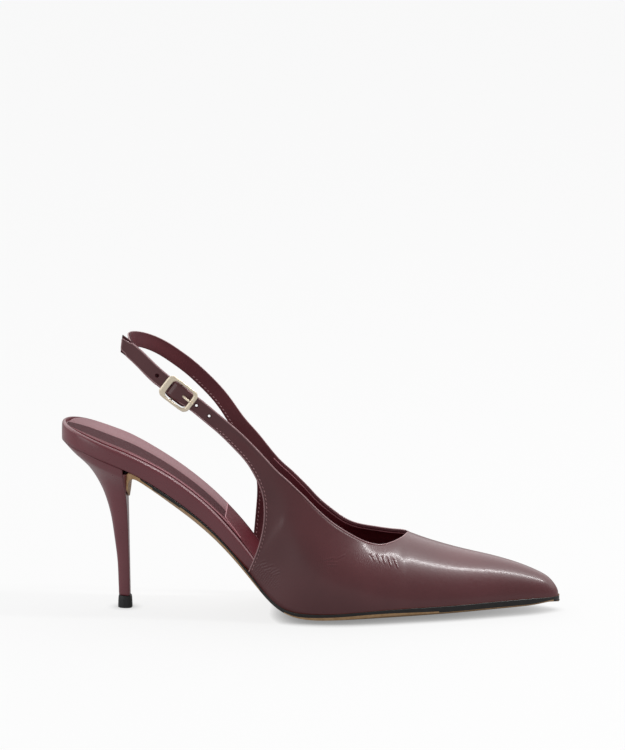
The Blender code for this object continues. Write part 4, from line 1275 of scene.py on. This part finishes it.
# %% Buckle frame
FRAME_LENGTH = 0.0176
FRAME_WIDTH = 0.0124
FRAME_CUT = 0.0020
FRAME_ASIDE = -0.0003
WINDOW_CUT = 0.0013
WIDE_BAR = 0.0032
NARROW_BAR = 0.0023
RAIL = 0.0015
SOFT_EDGE = 0.00045
BAR_RADIUS = 0.0005
BAR_ALONG = -0.0010
BAR_DEPTH = 0.0038
BAR_SIDES = 12
PRONG_SWELL = 0.00016
CORNER_CUT = 0.14


def cut_outline(length, width, cut, shift, rounds=2):
    """A rectangle with its corners cut off, then its own corners cut again and again until it is smooth."""
    a, b = length / 2, width / 2
    quarter = [(a, b - cut), (a - cut, b)]
    places = quarter + [(-x, y) for x, y in quarter[::-1]]
    places = np.array(places + [(-x, -y) for x, y in places])
    for _ in range(rounds):
        ahead = np.roll(places, -1, axis=0)
        start = places * (1 - CORNER_CUT) + ahead * CORNER_CUT
        stop = places * CORNER_CUT + ahead * (1 - CORNER_CUT)
        places = np.stack([start, stop], axis=1).reshape(-1, 2)
    return places + (shift, 0)


def buckle_frame():
    shift = (WIDE_BAR - NARROW_BAR) / 2
    window = FRAME_LENGTH - WIDE_BAR - NARROW_BAR
    outer = cut_outline(FRAME_LENGTH, FRAME_WIDTH, FRAME_CUT, 0)
    drawn = cut_outline(FRAME_LENGTH - 2 * SOFT_EDGE, FRAME_WIDTH - 2 * SOFT_EDGE, FRAME_CUT, 0)
    inner = cut_outline(window, FRAME_WIDTH - 2 * RAIL, WINDOW_CUT, shift)
    widened = cut_outline(window + 2 * SOFT_EDGE, FRAME_WIDTH - 2 * RAIL + 2 * SOFT_EDGE, WINDOW_CUT, shift)
    low = -FRAME_THICKNESS
    levels = (
        (drawn, low),
        (outer, low + SOFT_EDGE),
        (outer, -SOFT_EDGE),
        (drawn, 0.0),
        (widened, 0.0),
        (inner, -SOFT_EDGE),
        (inner, low + SOFT_EDGE),
        (widened, low),
    )
    rings = [[on_buckle(x, y + FRAME_ASIDE, height) for x, y in outline] for outline, height in levels]
    obj = solid_of_rings("buckle", rings, around=True)
    subdivide(obj, 2)
    return apply_modifiers(obj, "buckle")


dress(buckle_frame(), "buckle_frame", (gold,))
rail = FRAME_WIDTH / 2 - RAIL / 2
half = [(rail, -0.0007), (rail, -0.0026), (rail - 0.0004, -0.0034), (rail - 0.0012, -BAR_DEPTH)]
bar_path = [(-y, out) for y, out in half] + [(y, out) for y, out in half[::-1]]
bar_places = np.array([on_buckle(BAR_ALONG, y, out) for y, out in bar_path])
bar_up = np.tile(buckle_along, (len(bar_places), 1))
carried(sweep("buckle_bar", bar_places, bar_up, BAR_RADIUS, BAR_SIDES), gold)
prong = fine_copy("buckle_prong", "prong", math.radians(60), 0.3, 2)
for vert in prong.data.vertices:
    vert.co += vert.normal * PRONG_SWELL
dress(prong, "buckle_prong", (gold,))

# %% [markdown]
# Inside the window the strap rises over the bar and sinks again, so its leather shows as a small dome with
# dark gaps beside it. The dome is a patch of leather with rounded ends. A second, flat patch behind it in
# dark edge paint is painted shade: it stands for the strap's shaded underside and darkens the gaps.

# %% Strap inside the buckle
DOME_LENGTH = 0.0118
DOME_WIDTH = 0.0084
DOME_CROWN = 0.0010
DOME_PEAK = -0.0020
DOME_SPREAD = 0.0028
STRAP_FACE = -0.0015
SHADE_PATCH_WIDTH = 0.0102
SHADE_PATCH_DEPTH = -0.0032
SHADE_PATCH_LENGTH = 0.0130
PATCH_SHIFT = 0.0004
DOME_DROP = 0.0009
SHADE_PATCH_DROP = 0.0002


def leather_patch(name, length, width, shift, height, drop, material):
    """A closed patch of leather in the buckle's directions: height(along, across) above, flat below."""
    steps, lanes = 32, 20
    rings = []
    for i in range(steps + 1):
        u = -1 + 2 * i / steps
        reach = (1 - abs(u) ** 5) ** 0.2 if abs(u) < 1 else 0.0
        side = max(reach, 0.3) * width / 2
        x = shift + u * length / 2
        ring = []
        for j in range(lanes + 1):
            v = -1 + 2 * j / lanes
            edge = max(abs(u) ** 8, abs(v) ** 8)
            ring.append(on_buckle(x, v * side, height(x, v * side) - drop * edge))
        for v in (0.96, 0.0, -0.96):
            ring.append(on_buckle(x, v * side, height(x, 0.0) - drop * 1.3))
        rings.append(ring)
    return carried(solid_of_rings(name, rings), material)


def dome(along, across):
    return STRAP_FACE + 0.00015 + DOME_CROWN * math.exp(-(((along - DOME_PEAK) / DOME_SPREAD) ** 2))


def flat(along, across):
    return SHADE_PATCH_DEPTH


leather_patch("strap_dome", DOME_LENGTH, DOME_WIDTH, PATCH_SHIFT, dome, DOME_DROP, burgundy)
# The flat patch in dark edge paint is painted shade behind the strap.
leather_patch("buckle_painted_shade", SHADE_PATCH_LENGTH, SHADE_PATCH_WIDTH, PATCH_SHIFT, flat, SHADE_PATCH_DROP, edge_paint_and_painted_shade)
print("dome and backing", DOME_LENGTH / MM, "and", SHADE_PATCH_LENGTH / MM, "mm long")
